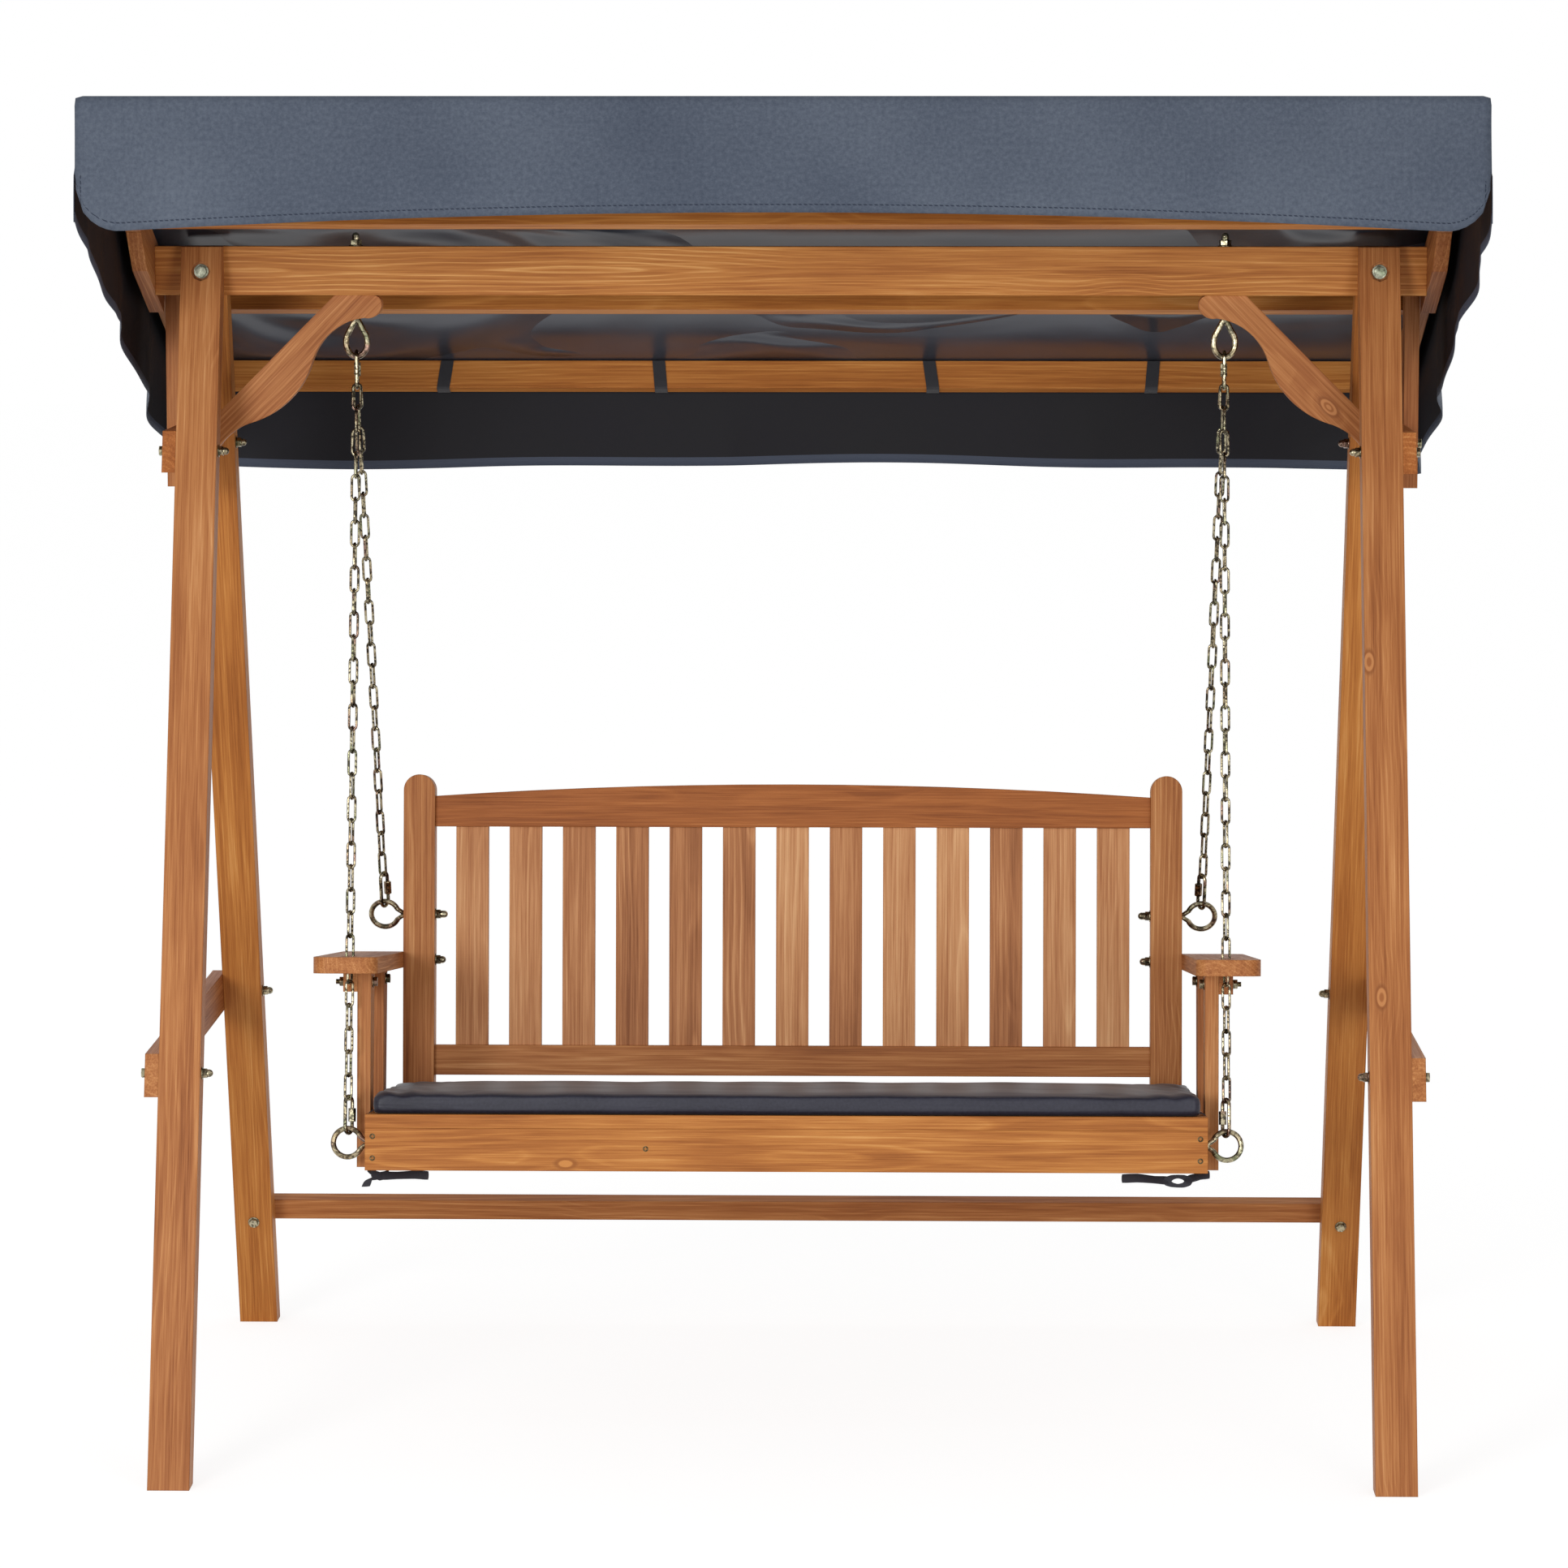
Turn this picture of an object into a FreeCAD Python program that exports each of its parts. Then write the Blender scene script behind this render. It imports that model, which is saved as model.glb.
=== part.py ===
import FreeCAD, Part
import math
import os
from types import SimpleNamespace

import Sketcher
from FreeCAD import Placement, Rotation, Vector

# Garden swing: two timber A-frames, a top beam and a pitched canopy carry a slatted bench on four chains.
# Millimetres. X runs to the right, Y to the rear and Z up, with the origin on the floor under the beam.

SIZES = {
    # A-frames and top beam
    "leg_spread": 1800,
    "leg_width": 60,
    "leg_depth": 44,
    "leg_height": 1745,
    "foot_reach": 600,
    "beam_depth": 40,
    "beam_height": 72,
    "cross_height": 60,
    "cross_thickness": 20,
    "low_cross_level": 566,
    "high_cross_level": 1447,
    "stretcher_height": 34,
    "stretcher_depth": 22,
    "stretcher_level": 188,
    # Corner braces between beam and A-frame
    "brace_thickness": 28,
    "brace_edge": 224,
    "brace_tip": 39,
    "brace_tip_depth": 34,
    "brace_tip_round": 13,
    "brace_neck": 35,
    "brace_neck_offset": 102,
    "brace_belly": 62,
    # Canopy frame
    "canopy_tilt": 19.93,
    "canopy_front": 620,
    "canopy_length": 1219,
    "rail_level": 1706,
    "inner_rail_offset": 199,
    "rail_height": 45,
    "rail_thickness": 22,
    "canopy_cleat_depth": 32,
    "canopy_cleat_front": 186,
    "canopy_cleat_rear": 94,
    "canopy_cleat_slant": 84,
    "post_thickness": 22,
    "post_width": 38,
    "post_foot": 36,
    "post_head": 34,
    # Canopy cover
    "cover_thickness": 2,
    "cover_slack": 11,
    "cover_gap": 3,
    "ridge_half": 190,
    "ridge_rise": 14,
    "valance_depth": 172,
    "hem_rise": 26,
    "hem_corner": 60,
    "side_fold": 9,
    "end_fold": 7,
    "strap_width": 20,
    "strap_thickness": 1.5,
    "strap_inner": 215,
    "strap_outer": 560,
    # Fasteners
    "bolt_diameter": 8,
    "hole_gap": 0.2,
    "nut_width": 13,
    "nut_height": 6.5,
    "head_height": 5.5,
    "washer_diameter": 18,
    "washer_thickness": 1.6,
    "bolt_sink": 2,
    # Eyebolts, quick links and chains
    "hanger_inset": 255,
    "hanger_drop": 70,
    "hanger_wire": 9,
    "hanger_outer": 52,
    "hanger_end": 14,
    "eye_wire": 8,
    "eye_outer": 50,
    "eye_neck": 5,
    "quick_wire": 5.5,
    "quick_length": 60,
    "quick_gap": 12,
    "quick_sleeve": 10,
    "quick_sleeve_length": 20,
    "quick_turn": 30,
    "chain_wire": 4,
    "chain_pitch": 34,
    "chain_gap": 7.5,
    "link_play": 0.3,
    "hook_play": 0.5,
    # Bench
    "bench_front": -290,
    "bench_level": 405,
    "bench_tilt": 7.25,
    "bench_width": 1232,
    "side_thickness": 18,
    "apron_height": 62,
    "apron_thickness": 20,
    "seat_depth": 430,
    "seat_slat_width": 62,
    "seat_slat_thickness": 20,
    "seat_slat_count": 6,
    "bearer_spacing": 410,
    "bearer_thickness": 22,
    "back_height": 585,
    "back_post_width": 48,
    "back_post_depth": 40,
    "top_rail_level": 505,
    "top_rail_height": 47,
    "top_rail_rise": 19,
    "low_rail_level": 123,
    "low_rail_height": 46,
    "back_rail_thickness": 24,
    "back_slat_width": 50,
    "back_slat_thickness": 15,
    "back_slat_count": 13,
    "arm_level": 312,
    "arm_thickness": 24,
    "arm_width": 95,
    "arm_overhang": 15,
    "arm_round": 24,
    "arm_post_thickness": 20,
    "arm_post_top": 60,
    "arm_post_foot": 38,
    "arm_post_front": 88,
    "arm_post_rear": 300,
    "arm_cleat_height": 29,
    "arm_cleat_thickness": 21,
    "chain_hole": 26,
    "seat_eye_front": 50,
    "seat_eye_level": 38,
    "back_eye_level": 370,
    "arm_bolt_reach": 30,
    # Cushion
    "cushion_thickness": 40,
    "cushion_edge": 27,
    "cushion_margin": 8,
    "cushion_corner": 60,
    "cushion_bulge": 5,
    "cushion_rest": 0.4,
    "tie_width": 13,
    "tie_thickness": 1.6,
    "tie_length": 95,
}

os.makedirs("parts", exist_ok=True)
doc = FreeCAD.newDocument("garden_swing")
sheet = doc.addObject("Spreadsheet::Sheet", "sheet")
for row, (name, number) in enumerate(SIZES.items(), start=1):
    sheet.set(f"A{row}", name)
    sheet.set(f"B{row}", str(number))
    sheet.setAlias(f"B{row}", name)
doc.recompute()


class Size:
    """A number with the sheet formula that it comes from."""

    def __init__(self, value, formula):
        self.value = float(value)
        self.formula = formula

    def __add__(self, other):
        return joined(self, "+", other)

    def __radd__(self, other):
        return joined(other, "+", self)

    def __sub__(self, other):
        return joined(self, "-", other)

    def __rsub__(self, other):
        return joined(other, "-", self)

    def __mul__(self, other):
        return joined(self, "*", other)

    def __rmul__(self, other):
        return joined(other, "*", self)

    def __truediv__(self, other):
        return joined(self, "/", other)

    def __rtruediv__(self, other):
        return joined(other, "/", self)

    def __neg__(self):
        return joined(-1, "*", self)

    def __float__(self):
        return self.value


def sized(number):
    return number if isinstance(number, Size) else Size(number, f"({number})")


def joined(left, sign, right):
    left, right = sized(left), sized(right)
    value = {
        "+": left.value + right.value,
        "-": left.value - right.value,
        "*": left.value * right.value,
        "/": left.value / right.value if right.value else 0.0,
    }[sign]
    return Size(value, f"({left.formula} {sign} {right.formula})")


def cosine(angle):
    return Size(math.cos(math.radians(angle.value)), f"cos({angle.formula})")


def sine(angle):
    return Size(math.sin(math.radians(angle.value)), f"sin({angle.formula})")


def root(number):
    return Size(math.sqrt(number.value), f"sqrt({number.formula})")


dim = SimpleNamespace(**{name: Size(float(sheet.get(name)), f"sheet.{name}") for name in SIZES})

SIDES = {"left": -1, "right": 1}
ROOT_2 = math.sqrt(2)

# Sizes that follow from the driving ones
leg_outer = dim.leg_spread / 2
leg_inner = leg_outer - dim.leg_width
beam_bottom = dim.leg_height - dim.beam_height
lean = (dim.foot_reach - dim.leg_depth - dim.beam_depth / 2) / beam_bottom
lean_cos = 1 / root(1 + lean * lean)
lean_sin = lean * lean_cos
cross_outer = leg_outer + dim.cross_thickness
rail_inner = cross_outer + dim.post_thickness
rail_outer = rail_inner + dim.rail_thickness
cover_inner = rail_outer + dim.cover_slack
cover_outer = cover_inner + dim.cover_thickness
pitch_cos = cosine(dim.canopy_tilt)
pitch_sin = sine(dim.canopy_tilt)
hanger_x = leg_outer - dim.hanger_inset
hole_radius = dim.bolt_diameter / 2 + dim.hole_gap
hanger_hole_radius = dim.hanger_wire / 2 + dim.hole_gap
tilt_cos = cosine(dim.bench_tilt)
tilt_sin = sine(dim.bench_tilt)
bench_half = dim.bench_width / 2
back_outer = bench_half - dim.side_thickness
back_inner = back_outer - dim.back_post_width
back_middle = dim.seat_depth + dim.back_post_depth / 2
seat_top = dim.apron_height + dim.seat_slat_thickness
arm_post_outer = bench_half + dim.arm_post_thickness
arm_cleat_outer = arm_post_outer + dim.arm_cleat_thickness
arm_bottom = dim.arm_level - dim.arm_thickness
arm_middle = dim.arm_level - dim.arm_thickness / 2
arm_outer = back_outer + dim.arm_width


def leg_front(level):
    """Distance from the beam's plane to a leg's outer face, at a height."""
    return dim.foot_reach - lean * level


def leg_centre(level):
    return leg_front(level) - dim.leg_depth / 2


# The three frames in which pieces are laid out: floor, hanging bench and pitched canopy
FRAMES = {
    "floor": (0, 0, 1, 0, 0.0),
    "bench": (dim.bench_front, dim.bench_level, tilt_cos, tilt_sin, -dim.bench_tilt.value),
    "canopy": (0, dim.rail_level, pitch_cos, pitch_sin, -dim.canopy_tilt.value),
}


def in_frame(frame, x, y, z):
    """A frame's point as sizes along the floor's axes."""
    start_y, start_z, cos, sin, _ = FRAMES[frame]
    return x, start_y + y * cos + z * sin, start_z - y * sin + z * cos


def point(frame, x, y, z):
    return Vector(*[float(v) for v in in_frame(frame, x, y, z)])


def frame_turn(frame):
    return Rotation(Vector(1, 0, 0), FRAMES[frame][4])


def bind(thing, name, size):
    thing.setExpression(name, sized(size).formula)


def place(thing, frame, x, y, z, turn=Rotation()):
    """Stand an object at a frame's point, tied to the sheet."""
    thing.Placement = Placement(point(frame, x, y, z), frame_turn(frame).multiply(turn))
    for axis, size in zip("xyz", in_frame(frame, x, y, z)):
        bind(thing, f"Placement.Base.{axis}", size)


def box(frame, low, high):
    """A plain board between two corners of a frame."""
    board = doc.addObject("Part::Box", "board")
    for name, start, end in zip(("Length", "Width", "Height"), low, high):
        bind(board, name, end - start)
    place(board, frame, *low)
    return board


def mirrored(low, high, side):
    """The corners of a board on one side, from those on the right."""
    if side > 0:
        return low, high
    return (-high[0], low[1], low[2]), (-low[0], high[1], high[2])


TURNS = {
    "x": Rotation(Vector(0, 1, 0), 90),
    "y": Rotation(Vector(1, 0, 0), -90),
    "z": Rotation(),
}


FLATS = 8


def drill(frame, along, start, length, radius, turn=None):
    """A bolt's hole along one axis of a frame, with flats that clear the radius all round."""
    bit = doc.addObject("Part::Prism", "drill")
    bit.Polygon = FLATS
    bind(bit, "Circumradius", radius / math.cos(math.pi / FLATS))
    bind(bit, "Height", length)
    place(bit, frame, *start, turn=turn or TURNS[along])
    return bit


def bore(frame, along, start, length, radius):
    """A round hole along one axis of a frame."""
    bit = doc.addObject("Part::Cylinder", "bore")
    bind(bit, "Radius", radius)
    bind(bit, "Height", length)
    place(bit, frame, *start, turn=TURNS[along])
    return bit


def cut(base, tools):
    tool = tools[0]
    if len(tools) > 1:
        tool = doc.addObject("Part::MultiFuse", "holes")
        tool.Shapes = tools
    drilled = doc.addObject("Part::Cut", "drilled")
    drilled.Base = base
    drilled.Tool = tool
    return drilled


PLANES = {"YZ": "YZ_Plane", "XZ": "XZ_Plane", "XY": "XY_Plane"}


def profile(frame, plane, start, runs, offset, thickness):
    """A board padded from an outline. A run is (end,) for a line or (via, end) for an arc."""
    body = doc.addObject("PartDesign::Body", "profile")
    sketch = body.newObject("Sketcher::SketchObject", "outline")
    origin = [f for f in body.Origin.OriginFeatures if f.Role == PLANES[plane]]
    sketch.AttachmentSupport = [(origin[0], "")]
    sketch.MapMode = "FlatFace"
    bind(sketch, "AttachmentOffset.Base.z", offset)

    def flat(corner):
        return Vector(float(corner[0]), float(corner[1]), 0)

    def pin(index, end, corner):
        for kind, size in zip(("DistanceX", "DistanceY"), corner):
            number = sketch.addConstraint(Sketcher.Constraint(kind, -1, 1, index, end, float(size)))
            bind(sketch, f"Constraints[{number}]", size)

    here = start
    ends = []
    for run in runs:
        finish = run[-1]
        if len(run) == 2:
            index = sketch.addGeometry(Part.Arc(flat(here), flat(run[0]), flat(finish)), False)
            via = sketch.addGeometry(Part.Point(flat(run[0])), True)
            pin(via, 1, run[0])
            sketch.addConstraint(Sketcher.Constraint("PointOnObject", via, 1, index))
        else:
            index = sketch.addGeometry(Part.LineSegment(flat(here), flat(finish)), False)
        first = 1 if sketch.getPoint(index, 1).isEqual(flat(here), 1e-6) else 2
        pin(index, first, here)
        ends.append((index, first))
        here = finish
    for (index, first), (following, next_first) in zip(ends, ends[1:] + ends[:1]):
        sketch.addConstraint(Sketcher.Constraint("Coincident", index, 3 - first, following, next_first))
    pad = body.newObject("PartDesign::Pad", "pad")
    pad.Profile = sketch
    bind(pad, "Length", thickness)
    body.Tip = pad
    place(body, frame, 0, 0, 0)
    return body


def polygon(frame, plane, corners, offset, thickness):
    return profile(frame, plane, corners[0], [(c,) for c in corners[1:] + corners[:1]], offset, thickness)


def group(things):
    """Several separate solids of one kind."""
    together = doc.addObject("Part::Compound", "group")
    together.Links = things
    return together


def solid(shape, name="solid"):
    """A piece whose shape is worked out from the sheet's values."""
    feature = doc.addObject("Part::Feature", name)
    feature.Shape = shape
    return feature


nodes = {}


def keep(label, thing):
    thing.Label = label
    nodes[label] = thing


# A-frames


def leg(side, depth_sign):
    """A leg with level foot and head, cut upright where it lies against the beam."""
    face = dim.beam_depth / 2
    corners = [
        (dim.foot_reach, sized(0)),
        (dim.foot_reach - dim.leg_depth, sized(0)),
        (face, beam_bottom),
        (face, dim.leg_height),
        (leg_front(dim.leg_height), dim.leg_height),
    ]
    corners = [(depth_sign * y, z) for y, z in corners]
    start = leg_inner if side > 0 else -leg_outer
    board = polygon("floor", "YZ", corners, start, dim.leg_width)
    tools = [leg_top_hole(side), leg_top_sink(side, depth_sign)]
    for level in (dim.low_cross_level, dim.high_cross_level):
        tools.append(cross_hole(side, depth_sign, level))
    if depth_sign > 0:
        tools.append(stretcher_hole(side))
    return cut(board, tools)


def leg_middle(side):
    return side * (leg_outer - dim.leg_width / 2)


leg_bolt_level = dim.leg_height - dim.beam_height / 2
sink_radius = dim.washer_diameter / 2 + 2 * dim.bolt_sink
leg_bolt_seat = leg_front(leg_bolt_level) - sink_radius * lean - dim.bolt_sink


def leg_top_hole(side):
    start = (leg_middle(side), -dim.foot_reach, leg_bolt_level)
    return drill("floor", "y", start, 2 * dim.foot_reach, hole_radius)


def leg_top_sink(side, depth_sign):
    """The flat sink in a leaning leg for the bolt's washer."""
    start = leg_bolt_seat if depth_sign > 0 else -dim.foot_reach
    corner = (leg_middle(side), start, leg_bolt_level)
    return drill("floor", "y", corner, dim.foot_reach - leg_bolt_seat, sink_radius)


def cross_hole(side, depth_sign, level):
    start = leg_inner - dim.bolt_sink if side > 0 else -rail_outer
    corner = (start, depth_sign * leg_centre(level), level)
    return drill("floor", "x", corner, rail_outer - leg_inner + dim.bolt_sink, hole_radius)


stretcher_turn = Rotation(Vector(1, 0, 0), math.degrees(math.atan(lean.value)) - 90)
stretcher_face = leg_front(dim.stretcher_level)
stretcher_reach = dim.leg_depth * lean_cos


def stretcher_point(along, outward):
    """A point in the stretcher's section, along the leg and out from its rear face."""
    y = stretcher_face - along * lean_sin + outward * lean_cos
    z = dim.stretcher_level + along * lean_cos + outward * lean_sin
    return y, z


def stretcher_hole(side):
    y, z = stretcher_point(0, -2 * stretcher_reach)
    length = 3 * stretcher_reach + dim.stretcher_depth
    return drill("floor", "y", (leg_middle(side), y, z), length, hole_radius, turn=stretcher_turn)


def crosspiece(side, level):
    """A level board outside both legs, with its ends cut to the legs' lean."""
    low = level - dim.cross_height / 2
    high = level + dim.cross_height / 2
    corners = [
        (leg_front(low), low),
        (leg_front(high), high),
        (-leg_front(high), high),
        (-leg_front(low), low),
    ]
    start = leg_outer if side > 0 else -cross_outer
    board = polygon("floor", "YZ", corners, start, dim.cross_thickness)
    return cut(board, [cross_hole(side, -1, level), cross_hole(side, 1, level)])


for name, side in SIDES.items():
    keep(f"front_leg_{name}", leg(side, -1))
    keep(f"rear_leg_{name}", leg(side, 1))
    keep(f"lower_crosspiece_{name}", crosspiece(side, dim.low_cross_level))
    keep(f"upper_crosspiece_{name}", crosspiece(side, dim.high_cross_level))

beam = box(
    "floor",
    (-rail_inner, -dim.beam_depth / 2, beam_bottom),
    (rail_inner, dim.beam_depth / 2, dim.leg_height),
)
hanger_holes = [
    drill(
        "floor",
        "z",
        (side * hanger_x, sized(0), beam_bottom - dim.hanger_drop),
        dim.hanger_drop + dim.beam_height + dim.hanger_end,
        hanger_hole_radius,
    )
    for side in SIDES.values()
]
keep("top_beam", cut(beam, hanger_holes + [leg_top_hole(side) for side in SIDES.values()]))

half = dim.stretcher_height / 2
stretcher = polygon(
    "floor",
    "YZ",
    [
        stretcher_point(-half, 0),
        stretcher_point(-half, dim.stretcher_depth),
        stretcher_point(half, dim.stretcher_depth),
        stretcher_point(half, 0),
    ],
    -leg_outer,
    dim.leg_spread,
)
keep("rear_stretcher", cut(stretcher, [stretcher_hole(side) for side in SIDES.values()]))


# Corner braces: a straight edge at 45 degrees and a swelling edge below, alike at both ends


def brace(side):
    reach = dim.hanger_inset + dim.brace_tip
    tip_flat = reach - dim.brace_tip_round

    def across(offset, width):
        """Distances from the A-frame and from the beam, by place along and width below the straight edge."""
        inward = (dim.brace_edge + ROOT_2 * (width + offset)) / 2
        down = (dim.brace_edge + ROOT_2 * (width - offset)) / 2
        return inward, down

    waist = dim.brace_neck + (dim.brace_belly - dim.brace_neck) * 0.4
    half_edge = [
        (tip_flat, sized(0)),
        (reach - dim.brace_tip_round * 0.3, dim.brace_tip_round * 0.3),
        (reach, dim.brace_tip_round),
        (reach - dim.brace_tip_round * 0.45, dim.brace_tip_depth - dim.brace_tip_round * 0.45),
        (reach - 2 * dim.brace_tip_round, dim.brace_tip_depth),
        across(dim.brace_neck_offset, dim.brace_neck),
        across(dim.brace_neck_offset * 0.63, waist),
    ]
    other_half = [(b, a) for a, b in reversed(half_edge)]
    spots = half_edge + [across(0, dim.brace_belly)] + other_half
    spots = [(side * (leg_outer - a), beam_bottom - b) for a, b in spots]
    start = (side * (leg_outer - dim.brace_edge), beam_bottom)
    runs = [(spots[0],)]
    runs += [(spots[i], spots[i + 1]) for i in range(1, len(spots) - 1, 2)]
    runs += [((side * leg_outer, beam_bottom - dim.brace_edge),), (start,)]
    board = profile("floor", "XZ", start, runs, -dim.brace_thickness / 2, dim.brace_thickness)
    return cut(board, [hanger_holes[0 if side < 0 else 1]])


for name, side in SIDES.items():
    keep(f"corner_brace_{name}", brace(side))


# Canopy frame: two pitched side rails beside the beam's ends, four cross rails, cleats and posts

rail_rear = dim.canopy_length - dim.canopy_front
post_middle = leg_centre(dim.high_cross_level)
post_bottom = dim.high_cross_level - dim.cross_height / 2 - dim.post_foot
post_bolt_level = dim.rail_level - post_middle * pitch_sin / pitch_cos + dim.rail_height * 0.4


def post_bolt_hole(side):
    start = cross_outer - dim.bolt_sink if side > 0 else -cover_inner
    corner = (start, post_middle, post_bolt_level)
    return drill("floor", "x", corner, cover_inner - cross_outer + dim.bolt_sink, hole_radius)


def canopy_cleat(side):
    """A block under the side rail at the beam's end, tapered towards the front."""
    corners = [
        (-dim.canopy_cleat_front, sized(0)),
        (dim.canopy_cleat_rear, sized(0)),
        (dim.canopy_cleat_rear, -dim.canopy_cleat_depth),
        (dim.canopy_cleat_slant - dim.canopy_cleat_front, -dim.canopy_cleat_depth),
    ]
    start = rail_inner if side > 0 else -rail_outer
    return polygon("canopy", "YZ", corners, start, dim.rail_thickness)


for name, side in SIDES.items():
    rail = box(
        "canopy",
        *mirrored(
            (rail_inner, -dim.canopy_front, sized(0)), (rail_outer, rail_rear, dim.rail_height), side
        ),
    )
    keep(f"canopy_side_rail_{name}", cut(rail, [post_bolt_hole(side)]))
    post = box(
        "floor",
        *mirrored(
            (cross_outer, post_middle - dim.post_width / 2, post_bottom),
            (rail_inner, post_middle + dim.post_width / 2, post_bolt_level + dim.post_head / 2),
            side,
        ),
    )
    keep(f"canopy_post_{name}", cut(post, [post_bolt_hole(side), cross_hole(side, 1, dim.high_cross_level)]))

keep("canopy_cleats", group([canopy_cleat(side) for side in SIDES.values()]))

rail_fronts = {
    "front": -dim.canopy_front,
    "second": -dim.inner_rail_offset - dim.rail_thickness,
    "third": dim.inner_rail_offset - dim.rail_thickness,
    "rear": rail_rear - dim.rail_thickness,
}
for name, front in rail_fronts.items():
    cross_rail = box(
        "canopy",
        (-rail_inner, front, sized(0)),
        (rail_inner, front + dim.rail_thickness, dim.rail_height),
    )
    keep(f"canopy_rail_{name}", cross_rail)


# Canopy cover: a top panel on the rails and four hanging valances with their main folds

cover_front = (dim.canopy_front * pitch_cos + dim.cover_gap).value
cover_rear = (rail_rear * pitch_cos + dim.rail_height * pitch_sin + dim.cover_gap).value
slope = (pitch_sin / pitch_cos).value
thick = dim.cover_thickness.value
cover_seat = dim.rail_height + dim.cover_gap / 10


def cover_level(y):
    """Height of the top panel's underside over a place on the floor."""
    return dim.rail_level.value + cover_seat.value / pitch_cos.value - slope * y


def folded(places, faces, fold, run_axis, low):
    """A strip along X or Y that hangs from the panel, straight at the top and folded at the hem.

    The first of its two faces is the outer one, and the folds at both ends swing outwards.
    """
    outward = math.copysign(fold, faces[0] - faces[1])

    def corner(run, out, lowered):
        x, y = (run, out) if run_axis == "x" else (out, run)
        return Vector(x, y, low(x, y) if lowered else cover_level(y))

    def strip(out, lowered):
        edges = []
        for index, (a, b) in enumerate(zip(places, places[1:])):
            first = corner(a, out, lowered)
            last = corner(b, out, lowered)
            bulge = -outward if index % 2 else outward
            via = corner((a + b) / 2, out + bulge, lowered)
            edges.append(Part.Arc(first, via, last).toShape() if lowered else Part.makeLine(first, last))
        return edges

    def section(lowered):
        near = strip(faces[0], lowered)
        far = strip(faces[1], lowered)
        starts = [corner(places[0], face, lowered) for face in faces]
        ends = [corner(places[-1], face, lowered) for face in faces]
        return Part.Wire(near + [Part.makeLine(*ends)] + far[::-1] + [Part.makeLine(*starts[::-1])])

    return Part.makeLoft([section(False), section(True)], True, True)


def spread(low, high, count):
    return [low + (high - low) * i / count for i in range(count + 1)]


panel_top = cover_seat + dim.cover_thickness
panel_reach = dim.canopy_front * pitch_cos + dim.cover_gap + dim.cover_thickness
panel_front = -(panel_reach + panel_top * pitch_sin) / pitch_cos
panel_rear = rail_rear + dim.cover_gap + 3 * dim.cover_thickness


def panel_edge(level):
    """The panel's section from front to rear, raised in a low ridge where it crosses the beam."""
    crest = (sized(0), level + dim.ridge_rise)
    feet = [(-dim.ridge_half, level), (dim.ridge_half, level)]
    return [(panel_front, level), feet[0], crest, feet[1], (panel_rear, level)]


under = panel_edge(cover_seat)
over = panel_edge(panel_top)
spread_panel = profile(
    "canopy",
    "YZ",
    under[0],
    [
        (under[1],),
        (under[2], under[3]),
        (under[4],),
        (over[4],),
        (over[3],),
        (over[2], over[1]),
        (over[0],),
        (under[0],),
    ],
    -cover_outer,
    2 * cover_outer,
)


def gusset(side):
    """The cloth between the ridge and the straight top of a side valance."""
    start = cover_inner if side > 0 else -cover_outer
    return profile("canopy", "YZ", under[1], [(under[2], under[3]), (under[1],)], start, dim.cover_thickness)


top_panel = doc.addObject("Part::MultiFuse", "panel")
top_panel.Shapes = [spread_panel] + [gusset(side) for side in SIDES.values()]
keep("canopy_top_panel", top_panel)

depth = dim.valance_depth.value
wide = cover_outer.value
END_FOLDS = 3
SIDE_FOLDS = 3
front_span = (-cover_front - thick, -cover_front)
rear_span = (cover_rear + thick, cover_rear)
front_low = cover_level(-cover_front) - depth
rear_low = cover_level(cover_rear) - depth

end_places = spread(-wide, wide, END_FOLDS)
front_sheet = folded(end_places, front_span, dim.end_fold.value, "x", lambda x, y: front_low)
rear_sheet = folded(end_places, rear_span, dim.end_fold.value, "x", lambda x, y: rear_low)


def hem_outline(low, rise, corner):
    """The front valance's face: arched hem and rounded lower corners."""
    top = dim.leg_height.value + dim.foot_reach.value
    corners = [Vector(-wide, 0, top), Vector(-wide, 0, low + corner), Vector(-wide + corner, 0, low)]
    left_via = Vector(-wide + corner * (1 - 1 / ROOT_2), 0, low + corner * (1 - 1 / ROOT_2))
    flipped = [Vector(-v.x, 0, v.z) for v in corners]
    edges = [
        Part.makeLine(flipped[0], corners[0]),
        Part.makeLine(corners[0], corners[1]),
        Part.Arc(corners[1], left_via, corners[2]).toShape(),
        Part.Arc(corners[2], Vector(0, 0, low + rise), flipped[2]).toShape(),
        Part.Arc(flipped[2], Vector(-left_via.x, 0, left_via.z), flipped[1]).toShape(),
        Part.makeLine(flipped[1], flipped[0]),
    ]
    return Part.Face(Part.Wire(edges))


hem = hem_outline(front_low, dim.hem_rise.value, dim.hem_corner.value)
hem.translate(Vector(0, -2 * cover_front, 0))
front_valance = front_sheet.common(hem.extrude(Vector(0, 2 * cover_front, 0)))
keep("canopy_front_valance", solid(front_valance.Solids[0]))
keep("canopy_rear_valance", solid(rear_sheet))

side_places = spread(-cover_front, cover_rear, SIDE_FOLDS)
side_sheet = folded(
    side_places,
    (wide, cover_inner.value),
    dim.side_fold.value,
    "y",
    lambda x, y: cover_level(y) - depth,
)
keep("canopy_side_valance_right", solid(side_sheet))
keep("canopy_side_valance_left", solid(side_sheet.mirror(Vector(), Vector(1, 0, 0))))


def strap(x):
    """A webbing band under and round the rear rail."""
    near = rail_rear - dim.rail_thickness
    gap = dim.strap_thickness / 10

    def turn(away):
        inside, outside = near - away, rail_rear + away
        return [(inside, cover_seat), (inside, -away), (outside, -away), (outside, cover_seat)]

    band = turn(gap) + turn(gap + dim.strap_thickness)[::-1]
    return polygon("canopy", "YZ", band, x - dim.strap_width / 2, dim.strap_width)


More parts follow.
